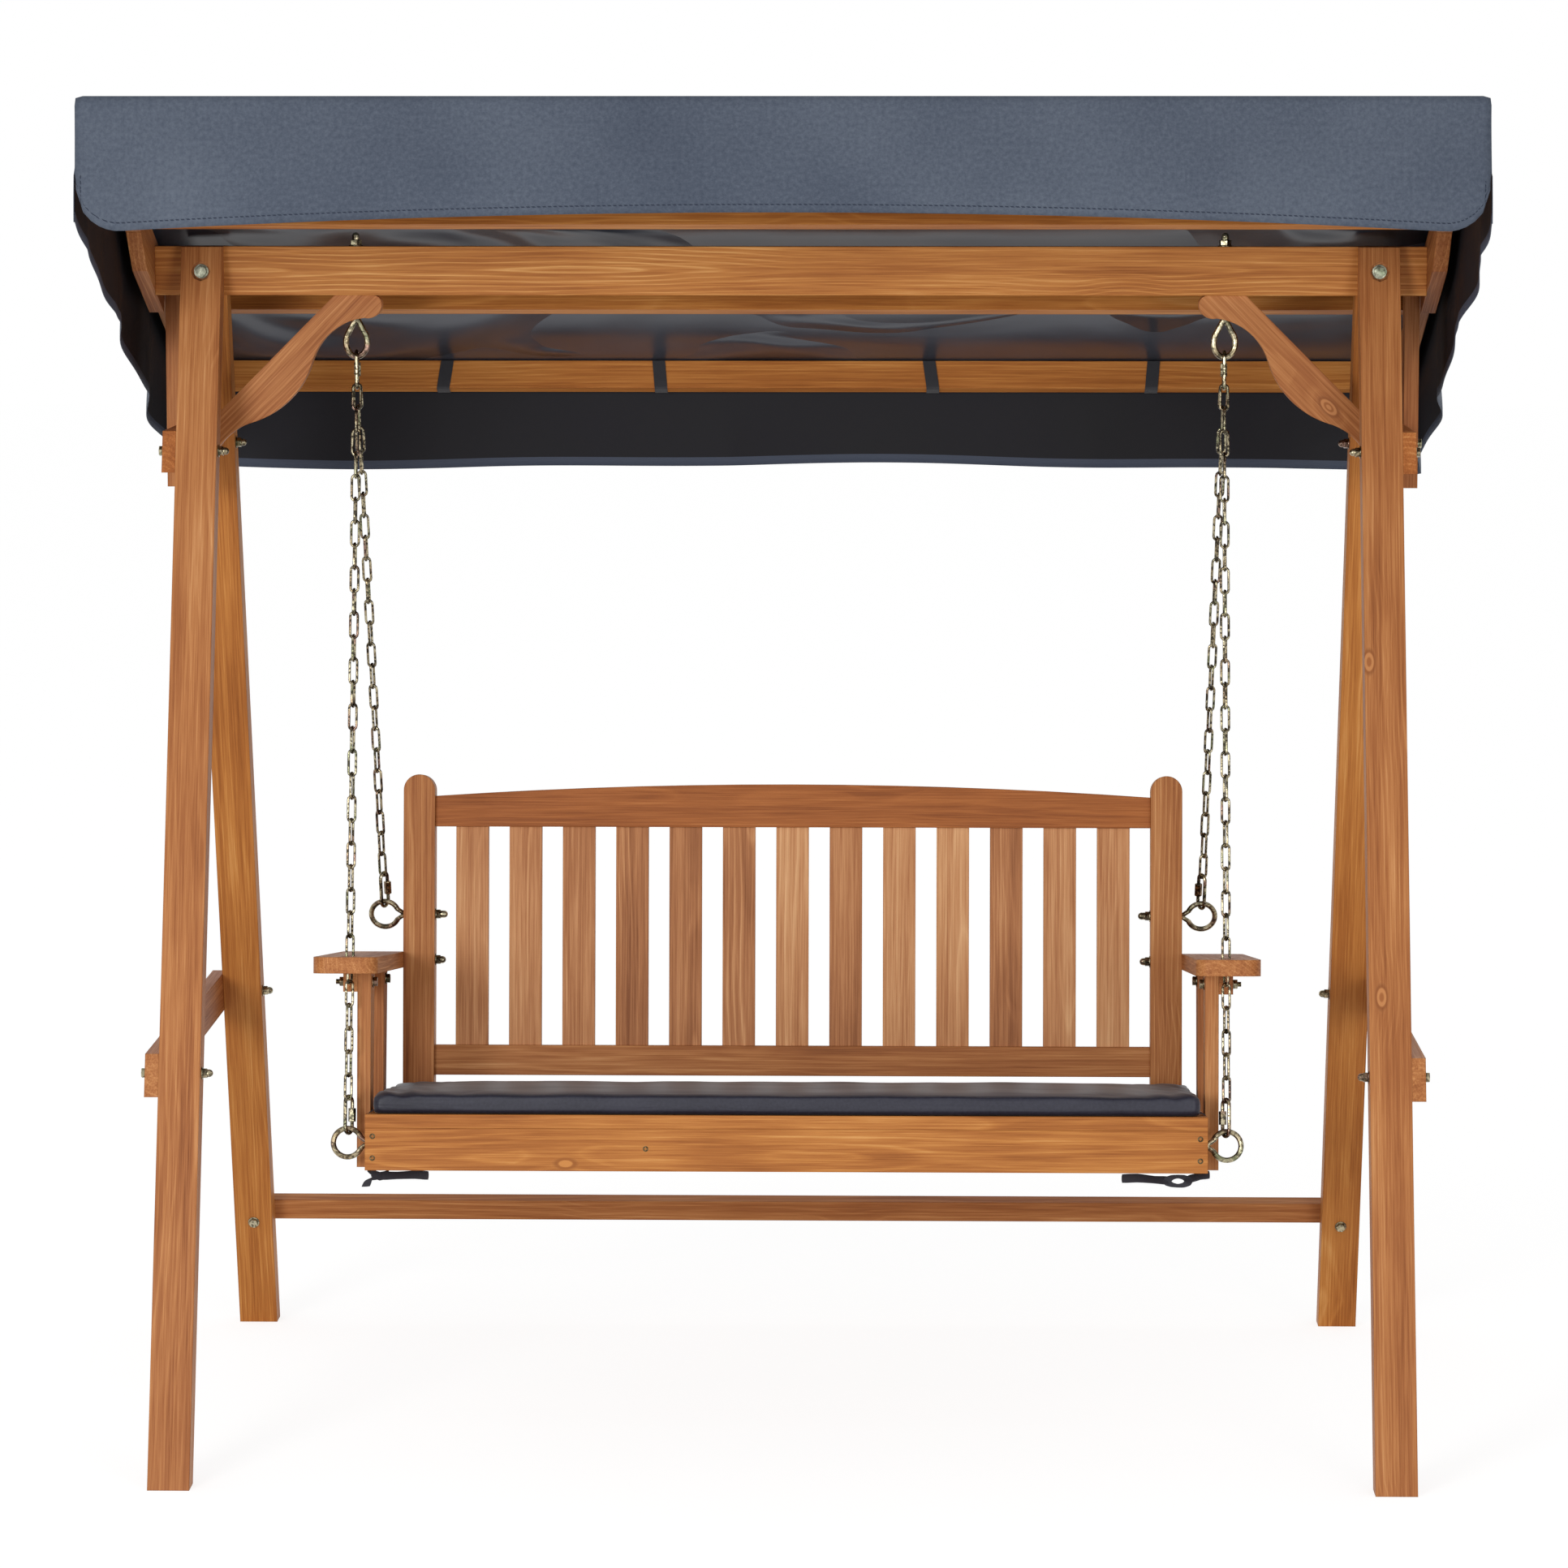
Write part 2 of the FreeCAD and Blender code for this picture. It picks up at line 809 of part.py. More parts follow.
strap_places = [-dim.strap_outer, -dim.strap_inner, dim.strap_inner, dim.strap_outer]
keep("canopy_straps", group([strap(x) for x in strap_places]))


# Fasteners


def ring_of(flats, radius, level):
    """A closed outline of equal flats round the Z axis."""
    corner = Vector(float(radius), 0, float(level))
    turns = [Rotation(Vector(0, 0, 1), 360 * i / flats) for i in range(flats)]
    corners = [turn.multVec(corner) for turn in turns]
    return Part.makePolygon(corners + corners[:1])


def prism(flats, radius, height, start=0.0):
    return Part.Face(ring_of(flats, radius, start)).extrude(Vector(0, 0, float(height)))


def hexagon(width, height, start=0.0):
    return prism(6, float(width) / math.sqrt(3), height, start)


def nut(start, capped):
    """Washer and nut from a seat outwards, along +Z."""
    washer = dim.washer_thickness.value
    height = dim.nut_height.value
    pieces = [
        prism(FLATS, dim.washer_diameter / 2, washer, start),
        hexagon(dim.nut_width, height, start + washer),
    ]
    if capped:
        dome = dim.nut_width.value / 2
        top = start + washer + height
        rims = [ring_of(FLATS, dome * 0.9, top), ring_of(FLATS, dome * 0.45, top + dome * 0.7)]
        pieces.append(Part.makeLoft(rims, True, True))
    return pieces


def bolt(grip, capped=True):
    """A bolt along +Z that clamps a grip from 0: hexagon head below, nut above."""
    grip = float(grip)
    washer = dim.washer_thickness.value
    head = dim.head_height.value
    end = grip + washer + dim.nut_height.value + (0 if capped else head)
    pieces = [
        hexagon(dim.nut_width, head, -washer - head),
        prism(FLATS, dim.washer_diameter / 2, washer, -washer),
    ]
    pieces += nut(grip, capped)
    shank = prism(FLATS, dim.bolt_diameter / 2, end + washer, -washer)
    return shank.multiFuse(pieces).removeSplitter()


def aimed(shape, start, direction):
    shape = shape.copy()
    shape.Placement = Placement(start, Rotation(Vector(0, 0, 1), direction))
    return shape


def both_sides(shapes):
    """Shapes on the right, and their mirror images on the left."""
    return Part.makeCompound(shapes + [s.mirror(Vector(), Vector(1, 0, 0)) for s in shapes])


leg_top_bolt = aimed(
    bolt(2 * leg_bolt_seat),
    point("floor", leg_middle(1), -leg_bolt_seat, leg_bolt_level),
    Vector(0, 1, 0),
)
keep("leg_top_bolts", solid(both_sides([leg_top_bolt])))

cross_bolts = []
for level, depth_sign in ((dim.low_cross_level, -1), (dim.low_cross_level, 1), (dim.high_cross_level, -1)):
    start = point("floor", cross_outer, depth_sign * leg_centre(level), level)
    cross_bolts.append(aimed(bolt(dim.leg_width + dim.cross_thickness), start, Vector(-1, 0, 0)))
long_bolt = bolt(dim.leg_width + dim.cross_thickness + dim.post_thickness)
start = point("floor", rail_inner, post_middle, dim.high_cross_level)
cross_bolts.append(aimed(long_bolt, start, Vector(-1, 0, 0)))
keep("crosspiece_bolts", solid(both_sides(cross_bolts)))

head_y, head_z = stretcher_point(0, -stretcher_reach)
stretcher_bolt = aimed(
    bolt(stretcher_reach + dim.stretcher_depth),
    point("floor", leg_middle(1), head_y, head_z),
    Vector(0, lean_cos.value, lean_sin.value),
)
keep("stretcher_bolts", solid(both_sides([stretcher_bolt])))

post_bolt = aimed(
    bolt(dim.post_thickness + dim.rail_thickness),
    point("floor", rail_outer, post_middle, post_bolt_level),
    Vector(-1, 0, 0),
)
keep("canopy_post_bolts", solid(both_sides([post_bolt])))


# Eyebolts, quick links and chains: bent wire with a few flats, hooked through one another

WIRE_SIDES = 6
LINK_SIDES = 4


def wire_loop(path, radius, sides=WIRE_SIDES):
    """A closed wire with mitred corners along a flat path in the XZ plane."""
    count = len(path)
    rings = []
    for index, spot in enumerate(path):
        before = (spot - path[index - 1]).normalize()
        after = (path[(index + 1) % count] - spot).normalize()
        side = (before + after).normalize().cross(Vector(0, 1, 0))
        stretch = 1 / math.cos(before.getAngle(after) / 2)
        ring = []
        for step in range(sides):
            angle = 2 * math.pi * step / sides
            outward = side * (radius * stretch * math.cos(angle))
            ring.append(spot + outward + Vector(0, radius * math.sin(angle), 0))
        rings.append(ring)
    faces = []
    for ring, following in zip(rings, rings[1:] + rings[:1]):
        for step in range(sides):
            ahead = (step + 1) % sides
            corners = [ring[step], ring[ahead], following[ahead], following[step], ring[step]]
            faces.append(Part.Face(Part.makePolygon(corners)))
    loop = Part.Solid(Part.Shell(faces))
    if loop.Volume < 0:
        loop.reverse()
    return loop


def long_path(half_width, half_length):
    """A long link's centre line: straight sides and rounded ends, tangent to its width and length."""
    slant = half_width * math.tan(math.pi / 8)
    shoulder = half_length - half_width + slant
    corner = [(half_width, shoulder), (slant, half_length), (-slant, half_length), (-half_width, shoulder)]
    corner += [(-x, -z) for x, z in corner]
    return [Vector(x, 0, z) for x, z in corner]


EYE_SEGMENTS = 12


def eye_path(middle_radius, point_radius):
    """An eye's centre line: round, drawn to a point where the shank starts, towards +Z."""
    reach = middle_radius / math.cos(math.pi / EYE_SEGMENTS)
    path = [Vector(0, 0, point_radius)]
    for step in range(1, EYE_SEGMENTS - 1):
        angle = math.pi * (2 * step + 1) / EYE_SEGMENTS
        path.append(Vector(reach * math.sin(angle), 0, reach * math.cos(angle)))
    return path


def eyebolt(outer, wire, neck, shank):
    """An eye round the origin with its shank along +Z, which starts at the neck."""
    radius = float(wire) / 2
    middle = float(outer) / 2 - radius
    eye = wire_loop(eye_path(middle, float(outer) / 2 + neck / 2), radius)
    rod = prism(FLATS, radius * 0.95, neck + float(shank), float(outer) / 2)
    return eye.fuse(rod).removeSplitter()


def turned(along, across):
    """The rotation that takes local Z along one direction and local X across it."""
    forward = across.cross(along) * -1
    return Rotation(across, forward, along, "ZXY")


nut_room = dim.washer_thickness + dim.nut_height
hanger_neck = (dim.hanger_drop - dim.brace_tip_depth).value - dim.hanger_outer.value / 2
hanger_middle = (dim.hanger_outer - dim.hanger_wire) / 2
hanger_level = beam_bottom - dim.hanger_drop
pivot_level = hanger_level - hanger_middle
hanger_shank = dim.brace_tip_depth + dim.beam_height + dim.hanger_end
hanger = aimed(
    eyebolt(dim.hanger_outer, dim.hanger_wire, hanger_neck, hanger_shank),
    point("floor", hanger_x, 0, hanger_level),
    Vector(0, 0, 1),
)
keep("hanger_eyebolts", solid(both_sides([hanger])))


def open_nut(radius):
    """A washer and a nut with a through bore, seated at 0 and facing +Z."""
    pieces = nut(0, False)
    whole = pieces[0].fuse(pieces[1])
    start = -dim.washer_thickness
    clear = (float(radius) + dim.hole_gap.value) / math.cos(math.pi / FLATS)
    return whole.cut(prism(FLATS, clear, nut_room - 2 * start, start))


top_nut = aimed(open_nut(dim.hanger_wire / 2), point("floor", hanger_x, 0, dim.leg_height), Vector(0, 0, 1))
keep("hanger_nuts", solid(both_sides([top_nut])))

quick_half = (dim.quick_gap + dim.quick_wire) / 2
quick_reach = (dim.quick_length - dim.quick_wire) / 2


def quick_link():
    """A long link that closes with a sleeve nut on one side."""
    loop = wire_loop(long_path(quick_half.value, quick_reach.value), dim.quick_wire.value / 2)
    sleeve = hexagon(dim.quick_sleeve, dim.quick_sleeve_length, -dim.quick_sleeve_length / 2)
    sleeve.translate(Vector(quick_half.value, 0, 0))
    return loop.fuse(sleeve).removeSplitter()


def chain(top, bottom):
    """Links from the first one's upper wire to the last one's lower wire, each a quarter turn on."""
    along = top - bottom
    length = along.Length
    along.normalize()
    wire = dim.chain_wire.value
    play = dim.link_play.value
    room = length - wire - play
    count = max(2, round(room / dim.chain_pitch.value))
    step = room / count
    half_length = (step + play + wire) / 2
    link = wire_loop(long_path((dim.chain_gap.value + wire) / 2, half_length), wire / 2, LINK_SIDES)
    across = (Vector(1, 0, 0) - along * along.x).normalize()
    total = dim.quick_turn.value - (0 if count % 2 else 90)
    links = []
    for index in range(count):
        angle = 90 * index + total * index / (count - 1)
        width = Rotation(along, angle).multVec(across)
        copy = link.copy()
        copy.Placement = Placement(top - along * (half_length + step * index), turned(along, width))
        links.append(copy)
    print(f"chain of {count} links, pitch {step:.2f} mm, length {length:.1f} mm")
    return Part.makeCompound(links)


hook = (dim.hanger_wire + dim.quick_wire) / 2 + dim.hook_play
quick_top = pivot_level + hook
quick_middle = quick_top - quick_reach
top_link = quick_link()
top_link.Placement = Placement(
    point("floor", hanger_x, 0, quick_middle), turned(Vector(0, 0, 1), Vector(0, 1, 0))
)
keep("top_quick_links", solid(both_sides([top_link])))

# Both chains hang side by side in the round lower end of the top quick link
link_side = dim.chain_wire.value / 2 + dim.link_play.value
link_bend = dim.quick_gap.value / 2 - dim.chain_wire.value / 2 - dim.link_play.value
link_drop = math.sqrt(link_bend**2 - link_side**2)
bend_level = (quick_middle - quick_reach + quick_half).value


def hung_side(eye, depth_sign):
    """The chain and lower quick link from the top quick link to an eye on the bench."""
    top = Vector(hanger_x.value, depth_sign * link_side, bend_level - link_drop)
    along = (top - eye).normalize()
    eye_middle = (dim.eye_outer.value - dim.eye_wire.value) / 2
    low = eye_middle - (dim.eye_wire.value + dim.quick_wire.value) / 2 - dim.hook_play.value
    centre = eye + along * (low + quick_reach.value)
    side = (Vector(1, 0, 0) - along * along.x).normalize()
    width = Rotation(along, 90 + dim.quick_turn.value).multVec(side)
    link = quick_link()
    link.Placement = Placement(centre, turned(along, width))
    wires = (dim.quick_wire.value + dim.chain_wire.value) / 2
    hooked = low + 2 * quick_reach.value - wires - dim.link_play.value
    return chain(top, eye + along * hooked), link, along


def bench_eye(root_x, eye, along, shank):
    """An eyebolt in the bench, with its eye turned to face along the chain."""
    piece = eyebolt(dim.eye_outer, dim.eye_wire, dim.eye_neck.value, shank)
    piece.Placement = Placement(eye, turned(Vector(-1, 0, 0), Vector(0, along.y, along.z).normalize()))
    return piece


eye_offset = dim.eye_neck + dim.eye_outer / 2
seat_eye = point("bench", bench_half + eye_offset, dim.seat_eye_front, dim.seat_eye_level)
back_eye = point("bench", back_outer + eye_offset, back_middle, dim.back_eye_level)
front_chain, front_link, front_along = hung_side(seat_eye, -1)
rear_chain, rear_link, rear_along = hung_side(back_eye, 1)
mirror = (Vector(), Vector(1, 0, 0))
keep("front_chain_right", solid(front_chain))
keep("front_chain_left", solid(front_chain.mirror(*mirror)))
keep("rear_chain_right", solid(rear_chain))
keep("rear_chain_left", solid(rear_chain.mirror(*mirror)))
keep("lower_quick_links", solid(both_sides([front_link, rear_link])))
keep(
    "seat_eyebolts",
    solid(both_sides([bench_eye(bench_half, seat_eye, front_along, dim.side_thickness + nut_room)])),
)
keep(
    "back_eyebolts",
    solid(both_sides([bench_eye(back_outer, back_eye, rear_along, dim.back_post_width + nut_room)])),
)


def eye_nut(seat, centre):
    return aimed(open_nut(dim.eye_wire / 2), Vector(seat.value, centre.y, centre.z), Vector(-1, 0, 0))


keep("eyebolt_nuts", solid(both_sides([eye_nut(back_outer, seat_eye), eye_nut(back_inner, back_eye)])))


# Bench: seat

seat_rear = dim.seat_depth + dim.back_post_depth
keep(
    "seat_apron",
    box("bench", (-bench_half, sized(0), sized(0)), (bench_half, dim.apron_thickness, dim.apron_height)),
)
eye_hole_radius = dim.eye_wire / 2 + dim.hole_gap
for name, side in SIDES.items():
    rail = box(
        "bench",
        *mirrored(
            (back_outer, dim.apron_thickness, sized(0)), (bench_half, seat_rear, dim.apron_height), side
        ),
    )
    start = back_outer - dim.bolt_sink if side > 0 else -arm_post_outer
    corner = (start, dim.seat_eye_front, dim.seat_eye_level)
    hole = drill("bench", "x", corner, arm_post_outer - back_outer + dim.bolt_sink, eye_hole_radius)
    keep(f"seat_side_rail_{name}", cut(rail, [hole]))

keep(
    "seat_rear_rail",
    box(
        "bench",
        (-back_outer, dim.seat_depth - dim.apron_thickness, sized(0)),
        (back_outer, dim.seat_depth, dim.apron_height),
    ),
)
bearers = []
for side in SIDES.values():
    middle = side * dim.bearer_spacing / 2
    bearers.append(
        box(
            "bench",
            (middle - dim.bearer_thickness / 2, dim.apron_thickness, sized(0)),
            (middle + dim.bearer_thickness / 2, dim.seat_depth - dim.apron_thickness, dim.apron_height),
        )
    )
keep("seat_bearers", group(bearers))

seat_count = int(dim.seat_slat_count.value)
seat_step = (dim.seat_depth - dim.seat_slat_width) / (seat_count - 1)
seat_slats = []
for index in range(seat_count):
    front = seat_step * index
    seat_slats.append(
        box(
            "bench",
            (-bench_half, front, dim.apron_height),
            (bench_half, front + dim.seat_slat_width, seat_top),
        )
    )
keep("seat_slats", group(seat_slats))


# Bench: back


def back_post(side):
    """An upright with a round head."""
    low, high = (back_inner, back_outer) if side > 0 else (-back_outer, -back_inner)
    radius = dim.back_post_width / 2
    shoulder = dim.back_height - radius
    runs = [
        ((high, sized(0)),),
        ((high, shoulder),),
        (((low + high) / 2, dim.back_height), (low, shoulder)),
        ((low, sized(0)),),
    ]
    post = profile("bench", "XZ", (low, sized(0)), runs, -seat_rear, dim.back_post_depth)
    start = back_inner - dim.bolt_sink if side > 0 else -arm_outer
    length = arm_outer - back_inner + dim.bolt_sink
    holes = [
        drill("bench", "x", (start, back_middle, dim.back_eye_level), length, eye_hole_radius),
        drill("bench", "x", (start, back_middle, arm_middle), length, hole_radius),
    ]
    return cut(post, holes)


for name, side in SIDES.items():
    keep(f"back_post_{name}", back_post(side))

rail_front = back_middle + dim.back_rail_thickness / 2
top_rail_end = dim.top_rail_level + dim.top_rail_height
top_rail = profile(
    "bench",
    "XZ",
    (-back_inner, dim.top_rail_level),
    [
        ((back_inner, dim.top_rail_level),),
        ((back_inner, top_rail_end),),
        ((sized(0), top_rail_end + dim.top_rail_rise), (-back_inner, top_rail_end)),
        ((-back_inner, dim.top_rail_level),),
    ],
    -rail_front,
    dim.back_rail_thickness,
)
keep("back_top_rail", top_rail)
low_rail_top = dim.low_rail_level + dim.low_rail_height
keep(
    "back_bottom_rail",
    box(
        "bench",
        (-back_inner, rail_front - dim.back_rail_thickness, dim.low_rail_level),
        (back_inner, rail_front, low_rail_top),
    ),
)
back_count = int(dim.back_slat_count.value)
slat_gap = (2 * back_inner - back_count * dim.back_slat_width) / (back_count + 1)
back_slats = []
for index in range(back_count):
    left = slat_gap - back_inner + (slat_gap + dim.back_slat_width) * index
    back_slats.append(
        box(
            "bench",
            (left, back_middle - dim.back_slat_thickness / 2, low_rail_top),
            (left + dim.back_slat_width, back_middle + dim.back_slat_thickness / 2, dim.top_rail_level),
        )
    )
keep("back_slats", group(back_slats))


# Bench: arms

arm_bolt_level = arm_bottom - dim.arm_cleat_height / 2
arm_fronts = (dim.arm_post_front, dim.arm_post_rear)


def arm_bolt_hole(side, front):
    start = bench_half - dim.bolt_sink if side > 0 else -arm_outer
    corner = (start, front + dim.arm_post_top / 2, arm_bolt_level)
    return drill("bench", "x", corner, arm_outer - bench_half + dim.bolt_sink, hole_radius)


def arm_post(side, front):
    """An upright outside the seat, tapered towards its foot."""
    corners = [
        (front, sized(0)),
        (front + dim.arm_post_foot, sized(0)),
        (front + dim.arm_post_top, arm_bottom),
        (front, arm_bottom),
    ]
    start = bench_half if side > 0 else -arm_post_outer
    return cut(polygon("bench", "YZ", corners, start, dim.arm_post_thickness), [arm_bolt_hole(side, front)])


def arm_cleat(side):
    cleat = box(
        "bench",
        *mirrored(
            (arm_post_outer, dim.arm_post_front, arm_bottom - dim.arm_cleat_height),
            (arm_cleat_outer, dim.arm_post_rear + dim.arm_post_top, arm_bottom),
            side,
        ),
    )
    return cut(cleat, [arm_bolt_hole(side, front) for front in arm_fronts])


def chain_through(level):
    """Where the front chain's line meets a level of the bench, in the bench's own axes."""
    turn = frame_turn("bench").inverted()
    start = turn.multVec(seat_eye - point("bench", 0, 0, 0))
    along = turn.multVec(front_along)
    return start + along * ((level.value - start.z) / along.z)


def armrest(side):
    """A flat arm with a rounded front and a hole for the front chain."""
    low, high = back_outer, arm_outer
    front = -dim.arm_overhang
    turn = dim.arm_round
    bend = turn * (1 - 1 / ROOT_2)
    small = turn / 2
    small_bend = small * (1 - 1 / ROOT_2)
    runs = [
        ((low + bend, front + bend), (low + turn, front)),
        ((high - turn, front),),
        ((high - bend, front + bend), (high, front + turn)),
        ((high, seat_rear - small),),
        ((high - small_bend, seat_rear - small_bend), (high - small, seat_rear)),
        ((low, seat_rear),),
        ((low, front + turn),),
    ]
    start = (side * low, front + turn)
    runs = [tuple((side * x, y) for x, y in run) for run in runs]
    board = profile("bench", "XY", start, runs, arm_bottom, dim.arm_thickness)
    spot = chain_through(arm_middle)
    chain_bit = bore(
        "bench",
        "z",
        (side * sized(spot.x), sized(spot.y), arm_bottom - dim.bolt_sink),
        dim.arm_thickness + 2 * dim.bolt_sink,
        dim.chain_hole / 2,
    )
    reach = dim.arm_bolt_reach + dim.bolt_sink
    bolt_start = back_outer - dim.bolt_sink if side > 0 else -back_outer - dim.arm_bolt_reach
    bolt_bit = drill("bench", "x", (bolt_start, back_middle, arm_middle), reach, hole_radius)
    return cut(board, [chain_bit, bolt_bit])


for name, side in SIDES.items():
    keep(f"armrest_{name}", armrest(side))
keep("arm_posts", group([arm_post(side, front) for side in SIDES.values() for front in arm_fronts]))
keep("arm_cleats", group([arm_cleat(side) for side in SIDES.values()]))

arm_bolts = []
for front in arm_fronts:
    seat = point("bench", bench_half, front + dim.arm_post_top / 2, arm_bolt_level)
    clamp = bolt(dim.arm_post_thickness + dim.arm_cleat_thickness, capped=False)
    arm_bolts.append(aimed(clamp, seat, Vector(1, 0, 0)))
stud_length = dim.back_post_width + dim.arm_bolt_reach - dim.hole_gap
stud = prism(FLATS, dim.bolt_diameter / 2, stud_length).multiFuse(
    [s.mirror(Vector(), Vector(0, 0, 1)) for s in nut(0, True)]
)
stud_seat = point("bench", back_inner, back_middle, arm_middle)
arm_bolts.append(aimed(stud.removeSplitter(), stud_seat, Vector(1, 0, 0)))
keep("arm_bolts", solid(both_sides(arm_bolts)))


# Cushion with a crown and drawn-in sides, and the ties at its front corners


def cushion():
    half_length = bench_half.value - dim.cushion_margin.value
    front = dim.cushion_margin.value / 2
    rear = dim.seat_depth.value - dim.cushion_margin.value
    low = (seat_top + dim.cushion_rest).value
    corner = dim.cushion_corner.value
    stations = [
        (-half_length, dim.cushion_edge.value * 0.75, corner * 0.18),
        (-half_length + corner * 0.3, dim.cushion_edge.value, corner * 0.05),
        (-half_length + corner * 2, dim.cushion_thickness.value, 0.0),
        (half_length - corner * 2, dim.cushion_thickness.value, 0.0),
        (half_length - corner * 0.3, dim.cushion_edge.value, corner * 0.05),
        (half_length, dim.cushion_edge.value * 0.75, corner * 0.18),
    ]
    sections = []
    for x, crown, inset in stations:
        bulge = dim.cushion_bulge.value
        near = front + inset + bulge
        far = rear - inset - bulge
        edge = low + min(crown, dim.cushion_edge.value) * 0.85
        middle = (low + edge) / 2
        corners = [Vector(x, near, low), Vector(x, far, low), Vector(x, far, edge), Vector(x, near, edge)]
        sections.append(
            Part.Wire(
                [
                    Part.makeLine(corners[0], corners[1]),
                    Part.Arc(corners[1], Vector(x, far + bulge, middle), corners[2]).toShape(),
                    Part.Arc(corners[2], Vector(x, (near + far) / 2, low + crown), corners[3]).toShape(),
                    Part.Arc(corners[3], Vector(x, near - bulge, middle), corners[0]).toShape(),
                ]
            )
        )
    return Part.makeLoft(sections, True, True)


def in_bench(shape):
    shape.Placement = Placement(point("bench", 0, 0, 0), frame_turn("bench"))
    return shape


keep("seat_cushion", solid(in_bench(cushion())))


def cushion_tie():
    """A strap down the side rail's outer face, with its knot and tail under the rail."""
    thickness = dim.tie_thickness.value
    width = dim.tie_width.value
    gap = dim.hole_gap.value
    near = (dim.arm_post_front - dim.tie_width).value - 2 * thickness
    out = bench_half.value + gap
    head = (seat_top + dim.cushion_rest).value
    strap_down = Part.makeBox(thickness, width, head + 3 * thickness, Vector(out, near, -3 * thickness))
    length = dim.tie_length.value
    tail = Part.makeBox(length, width, thickness, Vector(out + thickness - length, near, -3 * thickness))
    knot = Part.makeBox(width, width, 2 * thickness, Vector(out - width, near, -4 * thickness))
    return in_bench(strap_down.multiFuse([tail, knot]).removeSplitter())


keep("cushion_ties", solid(both_sides([cushion_tie()])))

doc.recompute()

faults = [thing.Name for thing in doc.Objects if {"Invalid", "Error"} & set(thing.State)]
for label, thing in nodes.items():
    if thing.Shape.isNull() or not thing.Shape.isValid() or not thing.Shape.Solids:
        faults.append(label)
if faults:
    raise RuntimeError(f"not built: {faults}")

for label, thing in nodes.items():
    thing.Shape.exportStep(f"parts/{label}.step")
bounds = Part.makeCompound([thing.Shape for thing in nodes.values()]).BoundBox
print(f"{len(nodes)} nodes, box {bounds.XLength:.1f} x {bounds.YLength:.1f} x {bounds.ZLength:.1f} mm")
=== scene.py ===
# %% [markdown]
# # A canopy garden swing
# The swing is a timber frame with a sloping canopy, and a slatted bench that hangs in it on four chains.
# Its solids come packed from CAD, in metres. The timber keeps those solids and gets its finish here.
# The cloth, the cushion and the ironwork are modelled again, because bent wire and sewn cloth need rounder
# forms than a solid model carries.

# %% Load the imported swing
import math

import bmesh
import bpy
import numpy as np
from mathutils import Matrix, Vector, noise


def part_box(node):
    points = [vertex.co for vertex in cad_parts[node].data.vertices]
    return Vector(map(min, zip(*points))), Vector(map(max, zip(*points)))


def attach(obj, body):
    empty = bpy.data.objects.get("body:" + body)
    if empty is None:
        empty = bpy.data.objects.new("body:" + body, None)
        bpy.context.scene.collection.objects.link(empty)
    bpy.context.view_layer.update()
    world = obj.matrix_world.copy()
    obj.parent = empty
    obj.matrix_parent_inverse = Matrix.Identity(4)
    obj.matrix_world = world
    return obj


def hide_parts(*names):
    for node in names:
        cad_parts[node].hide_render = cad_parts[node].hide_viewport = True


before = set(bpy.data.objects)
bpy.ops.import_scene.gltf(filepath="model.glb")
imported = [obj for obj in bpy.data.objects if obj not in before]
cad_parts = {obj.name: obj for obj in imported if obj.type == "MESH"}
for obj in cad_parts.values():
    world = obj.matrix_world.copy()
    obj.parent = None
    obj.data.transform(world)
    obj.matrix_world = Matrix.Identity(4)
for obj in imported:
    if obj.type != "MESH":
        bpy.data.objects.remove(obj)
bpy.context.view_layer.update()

# %% [markdown]
# ## Three ways of saying where
# The bench is tilted back and the canopy slopes down to the rear, so points on them are easier to give in
# their own axes: across, along the board, and up from it. A matrix for each turns such a point into the
# swing's frame.

# %% Points on the bench and on the canopy
BENCH_TILT, CANOPY_TILT, LEG_LEAN = 7.25, 19.93, 17.77  # degrees
SEAT_FRONT, CANOPY_MIDDLE = (0, -0.290, 0.405), (0, 0, 1.706)


def tilted(start, degrees):
    """Axes that start at a point and lean back."""
    return Matrix.Translation(start) @ Matrix.Rotation(-math.radians(degrees), 4, "X")


bench_axes = tilted(SEAT_FRONT, BENCH_TILT)
canopy_axes = tilted(CANOPY_MIDDLE, CANOPY_TILT)
print("front edge of the seat:", tuple(round(v, 3) for v in bench_axes @ Vector((0, 0, 0))))

# %% [markdown]
# ## The camera
# The photograph was taken from about eight and a half metres with a long lens, at the height of the canopy
# and a hand's length right of the middle, looking slightly down. A long lens keeps the legs nearly parallel.
# The place and the angles were found by matching feet, bolts, eyes and corners of the solids to the picture.

# %% Set the camera
SENSOR = 36
FOCAL_PIXELS, PICTURE_PIXELS = 7138, 1932
EYE, LOOK_DOWN, LOOK_LEFT = (0.176, -8.628, 1.944), 0.1156, 0.0214
scene = bpy.context.scene


def put_in(name, data):
    """A new object in the scene."""
    made = bpy.data.objects.new(name, data)
    scene.collection.objects.link(made)
    return made


view_data = bpy.data.cameras.new("photo_view")
view_data.sensor_width = SENSOR
view_data.sensor_fit = "HORIZONTAL"
view_data.lens = SENSOR * FOCAL_PIXELS / PICTURE_PIXELS
view = put_in("photo_view", view_data)
view.location = EYE
view.rotation_euler = (math.pi / 2 - LOOK_DOWN, 0, LOOK_LEFT)
scene.camera = view
print("lens", round(view_data.lens, 1), "mm")

# %% [markdown]
# ## A small kit for node materials
# A node material is a set of boxes wired together. Written out in full that takes many lines, so a few
# helpers add a node, set its options and wire or fill its inputs. Colours are given as they look on a screen
# and turned into the linear numbers that the renderer works in.

